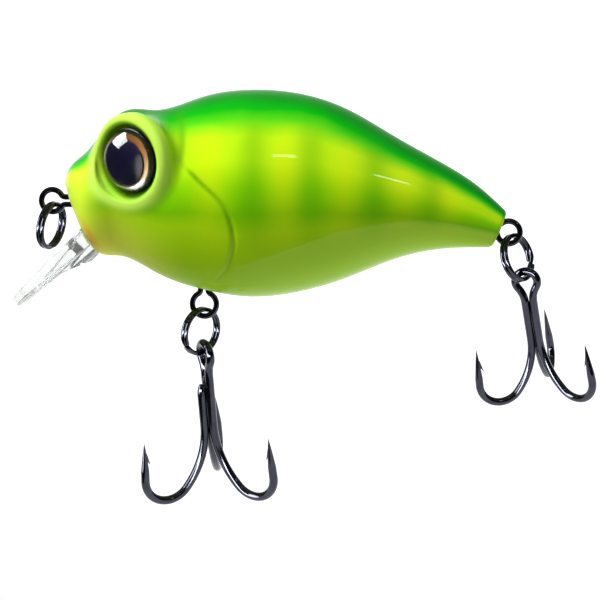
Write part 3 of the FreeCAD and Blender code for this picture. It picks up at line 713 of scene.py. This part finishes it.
def gold_film():
    """Gold film with radial streaks, graded by height as painted light: orange at the top as painted shade
    and pale at the bottom as a painted highlight.
    """
    n = Nodes("eye_gold")
    place = n.place()
    height = n.add("ShaderNodeSeparateXYZ", {0: place}).outputs["Z"]
    tone = n.ramp(
        n.range(height, 1.6, 6.2, False),
        (0.0, linear(255, 240, 210)), (0.3, linear(240, 200, 140)), (0.62, linear(206, 140, 70)),
        (1.0, linear(150, 80, 30)),
    )
    streak = n.noise(place, 3.4, 4.0, 0.7)
    shade = n.ramp(streak, (0.25, (0.55, 0.55, 0.55)), (0.75, (1.0, 1.0, 1.0)))
    n.set(Base_Color=n.mix(0.5, tone, shade, "MULTIPLY"), Metallic=0.35)
    n.set(Roughness=n.varied(0.25, streak, 0.2), Normal=n.bump(streak, 0.2, MM * 0.03))
    return n.material


PAINT = body_paint()
NICKEL = black_nickel()
STEEL_TONES = ((0.2, linear(150, 150, 152)), (0.8, linear(196, 196, 198)))
BLACK_TONES = ((0.3, linear(8, 8, 16)), (0.8, linear(16, 16, 28)))
INK_TONES = ((0.3, linear(3, 3, 20)), (0.8, linear(6, 6, 34)))
STEEL = speckled("bare_steel", (5.0, 4.0), STEEL_TONES, (0.18, 0.2), Metallic=1.0)
BLACK = speckled("eye_black", (7.0, 2.0), BLACK_TONES, (0.14, 0.1))
INK = speckled("pupil_ink", (5.0, 2.0), INK_TONES, (0.1, 0.1))
GOLD = gold_film()
LENS_PLASTIC = lens_plastic()
LIP_PLASTIC = lip_plastic()


# ---- body shells ----
def nearest_eye(x, y, z):
    """Distance from the axis of the nearer eye, and height along it."""
    nearest = [np.full(len(x), 99.0), np.full(len(x), -9.0)]
    for side in SIDES.values():
        radius, height = eye_coordinates(x, y, z, side)
        closer = (radius < nearest[0]) & (height > EYE_REACH)
        nearest = [np.where(closer, radius, nearest[0]), np.where(closer, height, nearest[1])]
    return nearest


def paint_masks(points):
    """Where each tone of the paint lies, as named values for every point.

    crown runs from 0 at the belly to 1 at the ridge, and gloss is where the clear coat is strong.
    """
    x, y, z = points.T
    top, bottom, half = top_at(x), bottom_at(x), half_at(x)
    level = (z - (top + bottom) / 2) * 2 / (top - bottom)
    crown = level / np.maximum(np.sqrt(level**2 + (y / half) ** 2), 1e-6)
    gloss = np.clip(np.maximum((x - 14.5) / 6, (crown + 0.2) * 3), 0.12, 1)
    bars = sum(bell(x - place, BAR_WIDTH) for place in BAR_PLACES)
    yellow = sum(bell(x - place, YELLOW_WIDTH) for place in YELLOW_PLACES)
    radius, height = nearest_eye(x, y, z)
    apart, _ = gill_distance(x, z)
    along, up = x - THROAT[0], z - THROAT[1]
    return {
        "crown": (crown + 1) / 2 + 0.07 * clamped((x - 26) / 12),
        "bars": bars * clamped((crown + 0.55) * 2.2) * clamped((0.8 - crown) * 4),
        "gloss": gloss * (1 - 0.7 * clamped((crown - 0.7) / 0.15) * clamped((x - 20) / 6)),
        "yellow": clamped(yellow * bell(crown - 0.25, 0.5)) * clamped((0.72 - crown) / 0.2),
        # painted highlight along the crest of each eye mound, where it catches the light
        "rim": bell(radius - RIM_CREST, 0.55) * clamped((height - 0.7) / 0.9),
        # painted shade in the valley at the foot of each eye mound
        "valley": 0.6 * bell(radius - VALLEY_RADIUS, 0.4) * clamped((1.2 - height) / 0.8)
        * clamped((height + 3.2) / 2.6) * clamped((x - 8) / 2),
        # painted shade on the socket wall round each eye
        "socket": 0.85 * clamped((SOCKET_MOUTH + 0.1 - radius) / 0.3)
        * clamped((MOUND_FACE + 0.05 - height) / 0.35) * (height > 1),
        # painted light on the snout's sides, paler where they face the front-left light
        "snout": 0.85 * clamped((6.2 - x) / 2.6) * clamped((0.72 - crown) * 5),
        # painted light under the head and snout
        "chin": 0.7 * clamped((13.5 - x) / 8) * clamped((-0.3 - crown) * 2.2),
        "throat": 0.6 * np.exp(-(((along + up * 0.35) / 0.45) ** 2) - (up / 1.2) ** 2),
        "gill": bell(apart, GILL_WIDTH) * (np.abs(y) > 2.5)
        * np.clip((z + 3.5) / 5.5, 0.14, 1) * clamped((3.4 - z) / 0.6),
    }


def body_surfaces():
    """Skin and cavity surfaces of the whole body."""
    points, quads = surface_net(skin_field, *SKIN_BOX, SKIN_STEP)
    points = settled(points, skin_field)
    for _ in range(2):
        points = settled(relaxed(points, quads), skin_field, 1)
    inner, inner_quads = surface_net(cavity_field, *CAVITY_BOX, CAVITY_STEP)
    return engraved(points), quads, inner, inner_quads


def half_shell(word, side, surfaces):
    """One half of the body, cut at the seam and closed across its wall."""
    points, quads, inner, inner_quads = surfaces
    mesh = bpy.data.meshes.new("whole_body")
    rows = np.concatenate([quads, inner_quads[:, ::-1] + len(points)])
    mesh.from_pydata(np.concatenate([points, inner]).tolist(), [], rows.tolist())
    bm = bmesh.new()
    bm.from_mesh(mesh)
    bpy.data.meshes.remove(mesh)
    bmesh.ops.bisect_plane(
        bm, geom=bm.verts[:] + bm.edges[:] + bm.faces[:], dist=1e-5, plane_co=(0, 0, 0),
        plane_no=(0, -side, 0), clear_outer=True,
    )
    rim = [edge for edge in bm.edges if edge.is_boundary]
    bmesh.ops.triangle_fill(bm, edges=rim, use_beauty=False, normal=(0, -side, 0))
    bm.normal_update()
    mesh = smooth_mesh(bm, f"{word}_body_skin", 60.0)
    places = np.zeros(len(mesh.vertices) * 3)
    mesh.vertices.foreach_get("co", places)
    for name, values in paint_masks(places.reshape(-1, 3) / MM).items():
        attribute = mesh.attributes.new(name, "FLOAT", "POINT")
        attribute.data.foreach_set("value", values.astype(np.float32))
    return link(f"{word}_body_skin", mesh, PAINT, "lure_body", [f"{word}_body_shell"])


surfaces = body_surfaces()
for word, side in SIDES.items():
    half_shell(word, side, surfaces)


# ---- eyes ----
def eye_matrix(side, height):
    """Place of a turned eye piece: Z out along the eye's axis, X ahead."""
    axis = Vector(eye_axis(side))
    ahead = Vector((-cos(EYE_AHEAD), -side * sin(EYE_AHEAD), 0))
    across = axis.cross(ahead)
    return axes_matrix(ahead, across, axis, Vector(eye_place(side, height)))


def eye_piece(bm, name, side, height, material, replaces=()):
    bmesh.ops.transform(bm, matrix=eye_matrix(side, height), verts=bm.verts)
    return link(name, smooth_mesh(bm, name, 40.0), material, "lure_body", replaces)


def seat_profile():
    """Loop of the black ring round the eye, with a rounded lip that holds the lens."""
    inner, outer, top = IRIS_RADIUS + 0.02, EYE_RADIUS, SEAT_THICKNESS
    rounded = arc((outer - 0.16, top - 0.02), 0.16, 0, 90, 15)
    lip = [(inner + 0.3, top + 0.12), (inner + 0.08, top + 0.02), (inner, top - 0.1)]
    return [(inner, 0.0), (outer, 0.0), *rounded, *lip]


def build_eye(word, side):
    floor = MOUND_FACE - SOCKET_DEPTH - SEAT_DEPTH
    seat = turned_ring(seat_profile())
    base = lathe([(0, 0.02), (IRIS_RADIUS + 0.1, 0.02), (IRIS_RADIUS + 0.1, 0.2), (0, 0.2)])
    join_bmesh(seat, base)
    eye_piece(seat, f"{word}_eye_ring", side, floor, BLACK, [f"{word}_eye_seat"])
    film = iris_disc(side)
    eye_piece(film, f"{word}_eye_iris_film", side, floor + FILM_LIFT, GOLD, [f"{word}_eye_iris"])
    edge = PUPIL_RADIUS - PUPIL_LAP
    pupil = lathe([(0, 0.0), (PUPIL_RADIUS, 0.0), (PUPIL_RADIUS, 0.06), (edge, 0.1), (0, 0.12)])
    pupil_ahead, pupil_down = PUPIL_PLACE
    bmesh.ops.translate(pupil, vec=(pupil_ahead, -side * pupil_down, 0), verts=pupil.verts)
    eye_piece(pupil, f"{word}_eye_pupil", side, floor + PUPIL_LIFT, INK)
    dome = (EYE_RADIUS**2 + LENS_HEIGHT**2) / (2 * LENS_HEIGHT)
    edge = degrees(asin((LENS_HEIGHT - dome) / dome))
    cap = arc((0, LENS_HEIGHT - dome), dome, edge + 1.5, 90, 3)
    bond = [(0, -BOND), (IRIS_RADIUS, -BOND), (IRIS_RADIUS, 0.0), (EYE_RADIUS - 0.06, 0.0)]
    profile = [*bond, *cap[:-1], (0, LENS_HEIGHT)]
    eye_piece(lathe(profile), f"{word}_eye_dome", side, floor + SEAT_THICKNESS, LENS_PLASTIC,
              [f"{word}_eye_lens"])


def iris_disc(side):
    """Dished gold disc with an off-centre opening for the pupil."""
    bm = bmesh.new()
    ahead, down = PUPIL_PLACE
    opening = PUPIL_RADIUS - PUPIL_LAP
    segments = 120
    bands = []
    for share, height in IRIS_DISH:
        band = []
        for i in range(segments):
            turn = 2 * pi * i / segments
            near = Vector((ahead + opening * cos(turn), opening * sin(turn) - side * down))
            far = Vector((IRIS_RADIUS * cos(turn), IRIS_RADIUS * sin(turn)))
            spot = near.lerp(far, share)
            ripple = 0.008 * sin(turn * 40) * sin(pi * share)
            band.append(bm.verts.new((spot.x, spot.y, height + ripple)))
        bands.append(band)
    for low, high in zip(bands, bands[1:] + bands[:1]):
        bridge(bm, low, high)
    return bm


def join_bmesh(target, other):
    """Adds another bmesh's faces to the target."""
    copies = {vert: target.verts.new(vert.co) for vert in other.verts}
    for face in other.faces:
        target.faces.new([copies[vert] for vert in face.verts])
    other.free()


for word, side in SIDES.items():
    build_eye(word, side)

# ---- diving lip ----
LIP_ANGLE = radians(46.0)
LIP_ROOT = (2.95, -2.75)
LIP_TANG = 2.3
LIP_LENGTH = 9.5
LIP_SIDE_LENGTH = 8.2
LIP_NECK = (0.6, 2.7)
LIP_SHOULDER = (4.2, 4.9)
LIP_CORNER = 0.93
LIP_CORNER_ROUND = 1.1
LIP_THICKNESS = (1.8, 0.75)
LIP_EDGE_ROUND = 0.22
KEEL_WIDTH = 0.8
KEEL_HEIGHT = 0.8
KEEL_LENGTH = 4.6
KEEL_HEEL = 1.6
KEEL_BURY = 0.5
KEEL_EDGE_ROUND = 0.12


def lip_matrix():
    run = Vector((-cos(LIP_ANGLE), 0, -sin(LIP_ANGLE)))
    up = Vector((-sin(LIP_ANGLE), 0, cos(LIP_ANGLE)))
    return axes_matrix(run, up.cross(run), up, (LIP_ROOT[0], 0, LIP_ROOT[1]))


def lip_outline():
    """Half outline of the lip, root to tip, as (along, across) points."""
    corner = (LIP_SIDE_LENGTH, LIP_SHOULDER[1] * LIP_CORNER)
    rise = LIP_LENGTH - corner[0]
    bow = (rise**2 + corner[1] ** 2) / (2 * rise)
    edge = degrees(asin(corner[1] / bow))
    front = arc((LIP_LENGTH - bow, 0), bow, edge, 0, 2)
    side = dist(corner, LIP_SHOULDER)
    before = [c + (s - c) * LIP_CORNER_ROUND / side for c, s in zip(corner, LIP_SHOULDER)]
    rest = [point for point in front if dist(point, corner) > LIP_CORNER_ROUND]
    turn = []
    for i in range(8):
        share = i / 8
        turn.append(tuple(
            b * (1 - share) ** 2 + c * 2 * share * (1 - share) + r * share**2
            for b, c, r in zip(before, corner, rest[0])
        ))
    return [(-LIP_TANG, LIP_NECK[1]), LIP_NECK, LIP_SHOULDER, *turn, *rest]


def build_lip():
    bm = bmesh.new()
    half = lip_outline()
    outline = half + [(a, -b) for a, b in reversed(half[:-1])]
    thick, thin = LIP_THICKNESS

    def under(along):
        return -(thick if along < 0 else thick + (thin - thick) * along / LIP_LENGTH)

    upper = [bm.verts.new((a, b, 0)) for a, b in outline]
    lower = [bm.verts.new((a, b, under(a))) for a, b in outline]
    bm.faces.new(upper)
    bm.faces.new(lower[::-1])
    count = len(outline)
    for i in range(count):
        j = (i + 1) % count
        bm.faces.new((upper[i], lower[i], lower[j], upper[j]))
    bmesh.ops.recalc_face_normals(bm, faces=bm.faces)
    rim = [e for e in bm.edges if e.calc_face_angle(0) > radians(12)]
    bmesh.ops.bevel(
        bm, geom=rim, offset=LIP_EDGE_ROUND, segments=4, profile=0.5, affect="EDGES", clamp_overlap=True
    )
    sole = -thick - KEEL_HEIGHT
    side = [(-LIP_TANG, -KEEL_BURY), (KEEL_LENGTH, -KEEL_BURY), (KEEL_LENGTH, under(KEEL_LENGTH)),
            (KEEL_HEEL, sole), (-LIP_TANG, sole)]
    keel = bmesh.new()
    walls = (-KEEL_WIDTH / 2, KEEL_WIDTH / 2)
    faces = [[keel.verts.new((a, across, h)) for a, h in side] for across in walls]
    keel.faces.new(faces[0])
    keel.faces.new(faces[1][::-1])
    for i in range(len(side)):
        j = (i + 1) % len(side)
        keel.faces.new((faces[0][i], faces[1][i], faces[1][j], faces[0][j]))
    bmesh.ops.recalc_face_normals(keel, faces=keel.faces)
    bmesh.ops.bevel(keel, geom=keel.edges[:], offset=KEEL_EDGE_ROUND, segments=3, profile=0.5, affect="EDGES")
    bmesh.ops.transform(bm, matrix=lip_matrix(), verts=bm.verts)
    bmesh.ops.transform(keel, matrix=lip_matrix(), verts=keel.verts)
    blade = link("lip_blade", smooth_mesh(bm, "lip_blade", 35.0), LIP_PLASTIC, "lure_body",
                 ["diving_lip"])
    cutter = placed("keel_part", smooth_mesh(keel, "keel_part", 35.0))
    union = blade.modifiers.new("keel", "BOOLEAN")
    union.operation = "UNION"
    union.object = cutter
    union.solver = "EXACT"
    bpy.context.view_layer.update()
    graph = bpy.context.evaluated_depsgraph_get()
    solid = bpy.data.meshes.new_from_object(blade.evaluated_get(graph))
    blade.modifiers.clear()
    blade.data = solid
    bpy.data.objects.remove(cutter)


build_lip()

# ---- wire hangers ----
HANGER_WIRE = 0.55
HANGER_LOOP = 0.78
HANGER_NECK = 0.36
HANGER_BEND = 0.45
HANGER_GAP = 24.0
HANGERS = {
    "nose": {"node": "nose_line_tie", "eye": (0, 0, 0), "radius": 1.05, "length": 5.3, "turn": 0.0},
    "belly": {"node": "belly_hanger", "eye": (14.5, 0, -9.75), "radius": 1.15, "length": 4.6, "turn": -90.0},
    "tail": {"node": "tail_hanger", "eye": (43.0, 0, -2.75), "radius": 1.05, "length": 5.3, "turn": 200.0},
}


def neck_reach(eye, neck, bend):
    """How far down the axis a loop's neck bend is centred, and the angle at which it meets the loop."""
    reach = sqrt((eye + bend) ** 2 - (neck + bend) ** 2)
    return reach, degrees(atan2(neck + bend, reach))


def hanger_path(eye, length):
    """Figure-eight centre line: inner loop, leg, outer eye, leg, inner loop."""
    neck, bend, loop = HANGER_NECK, HANGER_BEND, HANGER_LOOP
    reach, angle = neck_reach(eye, neck, bend)
    inner_reach, inner_angle = neck_reach(loop, neck, bend)
    half = joined(
        arc((length, 0), loop, HANGER_GAP, 180 - inner_angle),
        arc((length - inner_reach, neck + bend), bend, -inner_angle, -90),
        arc((reach, neck + bend), bend, -90, angle - 180),
        arc((0, 0), eye, angle, 180, 4),
    )
    mirrored = [(u, -v) for u, v in reversed(half)]
    return joined(half, mirrored)


def build_hanger(word, data):
    turn = Matrix.Translation(data["eye"]) @ Matrix.Rotation(radians(data["turn"]), 4, "Y")
    path = [turn @ Vector((u, 0, v)) for u, v in hanger_path(data["radius"], data["length"])]
    bm = bmesh.new()
    wire(bm, path, HANGER_WIRE / 2, 24)
    link(f"{word}_wire_form", smooth_mesh(bm, f"{word}_wire_form"), NICKEL, "lure_body",
         [data["node"]])


for word, data in HANGERS.items():
    build_hanger(word, data)

# ---- split rings ----
RING_WIRE = 0.42
RING_PITCH = 0.4
LINK_GAP = 0.18
RING_START = 6.0
RING_SWEEP = 708.0
RING_STEPS = 220
RING_CROSSING = 18
RINGS = {
    "nose": {"radius": 2.1, "hang": 40.0, "lean": -11.0, "turn": -14.0, "split": 100.0},
    "belly": {"radius": 2.15, "hang": -8.0, "lean": -8.0, "turn": -36.0, "split": 40.0},
    "tail": {"radius": 2.1, "hang": 20.0, "lean": 20.0, "turn": -35.0, "split": 150.0},
}
TREBLES = {
    "belly": {"wire": 0.85, "length": 16.1, "bend": 2.42, "bottom": 4.73, "point": 7.1, "eye": 1.12,
              "swing": 17.0, "tilt": 0.0, "spin": -20.0},
    "tail": {"wire": 0.76, "length": 13.2, "bend": 2.12, "bottom": 4.0, "point": 6.3, "eye": 1.03,
             "swing": 7.0, "tilt": 16.0, "spin": -163.0},
}


def about(axis, angle):
    return Matrix.Rotation(radians(angle), 3, axis)


def ring_pose(word):
    """Centre, normal and outward direction of a ring that hangs in its wire eye."""
    data, hanger = RINGS[word], HANGERS[word]
    hang = hanger["radius"] - (HANGER_WIRE + RING_WIRE) / 2 - LINK_GAP
    down = Vector((0, 0, -1))
    tilt = about("Y", -data["lean"])
    outward = tilt @ down
    normal = tilt @ about("Z", data["turn"]) @ Vector((1, 0, 0))
    centre = Vector(hanger["eye"]) + about("Y", -data["hang"]) @ down * hang + outward * data["radius"]
    return centre, normal, outward


def build_ring(word):
    """Two turns of wire that cross over between the coils, with both ends showing."""
    centre, normal, outward = ring_pose(word)
    data = RINGS[word]
    matrix = axes_matrix(outward.cross(normal), outward, normal, centre)
    path = []
    for i in range(RING_STEPS + 1):
        share = i / RING_STEPS
        turn = radians(data["split"] + RING_START + share * RING_SWEEP)
        step = min(max((share - 0.5) * RING_CROSSING + 0.5, 0), 1)
        height = RING_PITCH * (step * step * (3 - 2 * step) - 0.5)
        spot = Vector((data["radius"] * cos(turn), data["radius"] * sin(turn), height))
        path.append(matrix @ spot)
    bm = bmesh.new()
    wire(bm, path, RING_WIRE / 2, 20)
    link(f"{word}_coil_ring", smooth_mesh(bm, f"{word}_coil_ring"), NICKEL, f"{word}_ring",
         [f"{word}_split_ring"])


for word in RINGS:
    build_ring(word)

# ---- treble hooks ----
FLARE = 45.0
SPEAR_LEAN = 4.0
TAPER = 3.1
BARB_BELOW_POINT = 1.5
BARB_LENGTH = 1.0
BARB_LEAN = 24.0
BARB_SHARE = 0.26
BARB_BURY = 0.25
BARB_INSET = 0.05
BARB_FLAT = 0.55
POINT_RADIUS = 0.012
EYE_BEND = 2.5
SHANK_SPREAD = 1.02
SHANK_TOP_TAPER = (0.2, 0.38, 0.47)
BRAZE_SHARE = 0.34
BRAZE_RADIUS = 0.43


def treble_matrix(word):
    """Place of a treble: its local Z runs up the shank from the ring wire."""
    centre, normal, outward = ring_pose(word)
    data = TREBLES[word]
    down = Matrix.Rotation(radians(data["swing"]), 3, normal) @ outward
    contact = centre + down * RINGS[word]["radius"]
    along = normal.cross(down)
    down = Matrix.Rotation(radians(data["tilt"]), 3, along) @ down
    matrix = Matrix((along, (-down).cross(along), -down)).transposed() @ about("Z", data["spin"])
    matrix = matrix.to_4x4()
    matrix.translation = contact
    return matrix


def hook_arm(data, azimuth, top, shank_radius):
    """One hook's centre line and radii from shank top to point, the same of its barb, and its side."""
    size, bend, bottom, flare = data["wire"], data["bend"], data["bottom"], radians(FLARE)
    low = RING_WIRE / 2 + LINK_GAP + size - data["length"] + size / 2
    sweep = (bottom - shank_radius - bend * cos(flare)) / (1 - cos(flare))
    flare_height = low + bend * (1 - sin(flare)) + sweep * sin(flare)
    lean = radians(SPEAR_LEAN)
    end = (bottom + bend * cos(lean), low + bend + bend * sin(lean))
    rise = low - size / 2 + data["point"] - end[1]
    tip = (end[0] - rise * tan(lean), end[1] + rise)
    length = dist(end, tip)
    shank = [(shank_radius, top + (flare_height - top) * i / 12) for i in range(13)]
    plan = joined(
        shank,
        arc((shank_radius + sweep, flare_height), sweep, 180, 180 + FLARE, 2),
        arc((bottom, low + bend), bend, 180 + FLARE, 360 + SPEAR_LEAN, 4),
    )
    radii = [size / 2] * len(plan)
    spear = max(length - TAPER, 0.05)
    for i in range(1, 25):
        run = spear + (length - spear) * i / 24
        share = run / length
        plan.append((end[0] + (tip[0] - end[0]) * share, end[1] + (tip[1] - end[1]) * share))
        taper = (length - run) / (length - spear)
        radii.append(max(size / 2 * taper**0.8, POINT_RADIUS))
    turn = radians(azimuth)

    def place(radius, height):
        return Vector((radius * cos(turn), radius * sin(turn), height))

    way = (place(*tip) - place(*end)).normalized()
    inward = place(-1, 0)
    barb_root = place(*tip) - way * (BARB_BELOW_POINT - BARB_BURY) + inward * BARB_INSET
    barb_lean = radians(BARB_LEAN)
    barb_way = (-way * cos(barb_lean) + inward * sin(barb_lean)).normalized()
    barb = [barb_root + barb_way * ((BARB_LENGTH + BARB_BURY) * i / 8) for i in range(9)]
    barb_radii = [max(size * BARB_SHARE * (1 - i / 8) ** 0.9, POINT_RADIUS) for i in range(9)]
    return [place(*p) for p in plan], radii, barb, barb_radii, Vector((sin(turn), -cos(turn), 0))


def add_barb(bm, arm):
    """Adds an arm's barb, flattened across the hook's plane."""
    path, radii, side = arm[2:]
    wire(bm, path, radii, 12, BARB_FLAT, side.cross(path[1] - path[0]))


def build_treble(word):
    data = TREBLES[word]
    size = data["wire"]
    shank_radius = size / sqrt(3) * SHANK_SPREAD
    neck, offset = shank_radius * sin(radians(60)), shank_radius * cos(radians(60))
    eye_centre = RING_WIRE / 2 + LINK_GAP + size / 2 - data["eye"]
    reach, angle = neck_reach(data["eye"], neck, EYE_BEND)
    shank_top = eye_centre - reach
    loop = joined(
        arc((reach, neck + EYE_BEND), EYE_BEND, -90, angle - 180, 8),
        arc((0, 0), data["eye"], angle, 360 - angle, 5),
        arc((reach, -neck - EYE_BEND), EYE_BEND, 180 - angle, 90, 8),
    )
    eye_loop = [Vector((offset, across, eye_centre - down)) for down, across in loop]
    first = hook_arm(data, 60, shank_top, shank_radius)
    second = hook_arm(data, -60, shank_top, shank_radius)
    third = hook_arm(data, 180, shank_top - size, shank_radius)
    path = joined(first[0][::-1], eye_loop, second[0])
    radii = first[1][::-1] + [size / 2] * (len(path) - len(first[1]) - len(second[1])) + second[1]
    double, single = bmesh.new(), bmesh.new()
    wire(double, path, radii, 24)
    for arm in (first, second):
        add_barb(double, arm)
    third[1][:3] = [size * share for share in SHANK_TOP_TAPER]
    wire(single, third[0], third[1], 24)
    braze_top, braze_low = shank_top - size * 0.2, shank_top - data["length"] * BRAZE_SHARE
    braze = [Vector((0, 0, braze_top + (braze_low - braze_top) * i / 16)) for i in range(17)]
    swell = [sin(pi * (0.12 + 0.76 * i / 16)) ** 0.5 for i in range(17)]
    wire(single, braze, [size * BRAZE_RADIUS * share for share in swell], 24)
    add_barb(single, third)
    matrix = treble_matrix(word)
    for kind, bm in (("double", double), ("single", single)):
        bmesh.ops.transform(bm, matrix=matrix, verts=bm.verts)
        name = f"{word}_{kind}_hook"
        mesh = smooth_mesh(bm, name)
        link(name, mesh, NICKEL, f"{word}_treble", [f"{word}_treble_{kind}_hook"])


for word in TREBLES:
    build_treble(word)

for node in ("ballast_weight", "front_rattle_ball", "rear_rattle_ball"):
    mesh = frame["nodes"][node].data
    mesh.materials.clear()
    mesh.materials.append(STEEL)

# ---- studio ----
FLOOR_DROP = 3.0
FLOOR_FRONT = -38.0
FLOOR_LEFT = (42.0, -1.25)
FLOOR_RIGHT = 3000.0
FLOOR_BACK = 1200.0
FLOOR_SWEEP = 900.0
SKY_ABOVE = 0.22
SKY_BEHIND = 0.75
SKY_FRONT = 0.05
MIDDLE = (21.0, 0.0, -2.0)
METAL = ("_hook", "_coil_ring")
# soft panels: name, place, target, watts, size in metres, and endings of the only pieces they light
PANELS = (
    ("front_streak", (45.0, -171.0, 118.0), MIDDLE, 0.009, (0.024, 0.009), ()),
    ("right_streak", (155.0, -136.0, 98.0), MIDDLE, 0.011, (0.022, 0.009), ()),
    ("eye_window", (-130.0, 0.0, 150.0), (8.0, 0.0, 4.0), 2.0, (0.18, 0.12), ("_eye_dome",)),
    ("metal_left", (-200.0, -130.0, 10.0), (25.0, 0.0, -15.0), 1.5, (0.11, 0.26), METAL),
    ("metal_low", (-30.0, -160.0, -48.0), (30.0, 0.0, -20.0), 0.7, (0.2, 0.03), METAL),
)
CAMERA_PLACE = (35.172, -132.178, 7.032)
CAMERA_TARGET = (23.608, 0.0, -9.260)


def studio_white():
    """Pale matt floor that glows a little, as a light table does."""
    n = Nodes("studio_white")
    cloud = n.noise(n.place(), 0.02, 2.0)
    n.set(Base_Color=n.ramp(cloud, (0.3, (0.24, 0.24, 0.24)), (0.7, (0.26, 0.26, 0.26))), Roughness=0.8)
    n.set(Emission_Color=(1.0, 1.0, 1.0, 1.0), Emission_Strength=0.95)
    return n.material


def build_floor():
    """Pale floor that starts ahead of the lure, curves up far behind it and has a slanted left edge.

    The clear coat reflects that edge along the lure's side.
    """
    low = cad_box[0][2] / MM - FLOOR_DROP
    rise = arc((0, 0), FLOOR_SWEEP, -90, 0)
    profile = [(FLOOR_FRONT, low), (FLOOR_BACK, low)]
    profile += [(FLOOR_BACK + u, low + FLOOR_SWEEP + v) for u, v in rise]
    bm = bmesh.new()
    start, slant = FLOOR_LEFT
    rows = []
    for y, z in profile:
        rows.append([bm.verts.new((x, y, z)) for x in (start + slant * (y - FLOOR_FRONT), FLOOR_RIGHT)])
    for near, far in zip(rows, rows[1:]):
        bm.faces.new((near[0], near[1], far[1], far[0]))
    mesh = smooth_mesh(bm, "studio_floor")
    floor = placed("studio_floor", mesh)
    mesh.materials.append(studio_white())


def build_light(kind, name, place, target, energy, shines=True, only=(), **settings):
    """A light that the camera can't see. It may be kept out of reflections, or light some pieces only."""
    data = bpy.data.lights.new(name, kind)
    data.energy = energy
    for key, value in settings.items():
        setattr(data, key, value)
    light = placed(name, data)
    light.location = Vector(place) * MM
    light.rotation_euler = (Vector(target) - Vector(place)).to_track_quat("-Z", "Y").to_euler()
    light.visible_glossy = shines
    light.visible_camera = False
    if only:
        lit = bpy.data.collections.new(f"{name}_lit")
        for piece in only:
            lit.objects.link(piece)
        light.light_linking.receiver_collection = lit


def build_world():
    """White surroundings to look at, that light the lure from behind and above and leave its front dark."""
    world = bpy.data.worlds.new("studio")
    scene.world = world
    n = Nodes("studio", world)
    way = n.add("ShaderNodeSeparateXYZ", {0: n.add("ShaderNodeTexCoord").outputs["Generated"]})
    above = n.range(way.outputs["Z"], 0.2, 0.65, top=SKY_ABOVE)
    behind = n.range(way.outputs["Y"], 0.3, 0.9, top=SKY_BEHIND)
    unseen = n.math("MAXIMUM", n.math("MAXIMUM", above, behind), SKY_FRONT)
    seen = n.add("ShaderNodeLightPath").outputs["Is Camera Ray"]
    n.set(Color=(1.0, 1.0, 1.0, 1.0), Strength=n.math("MAXIMUM", unseen, seen))


def build_camera():
    data = bpy.data.cameras.new("camera")
    data.lens = 85
    data.sensor_width = 36
    data.clip_start = 0.005
    data.clip_end = 20
    camera = placed("camera", data)
    camera.location = Vector(CAMERA_PLACE) * MM
    way = Vector(CAMERA_TARGET) - Vector(CAMERA_PLACE)
    camera.rotation_euler = way.to_track_quat("-Z", "Y").to_euler()
    scene.camera = camera


build_floor()
build_world()
build_camera()
build_light("SUN", "key", (-160.0, -150.0, 260.0), MIDDLE, 4.2, shines=False, angle=radians(30))
build_light(
    "AREA", "low_fill", (-55.0, -75.0, -24.0), (6.0, -3.0, 0.0), 0.019, shines=False, shape="DISK", size=0.05
)
for name, place, target, watts, (wide, tall), endings in PANELS:
    lit = [piece for piece in bpy.data.objects if piece.name.endswith(endings)]
    build_light("AREA", name, place, target, watts, only=lit, shape="RECTANGLE", size=wide, size_y=tall)
scene.view_settings.view_transform = "Standard"
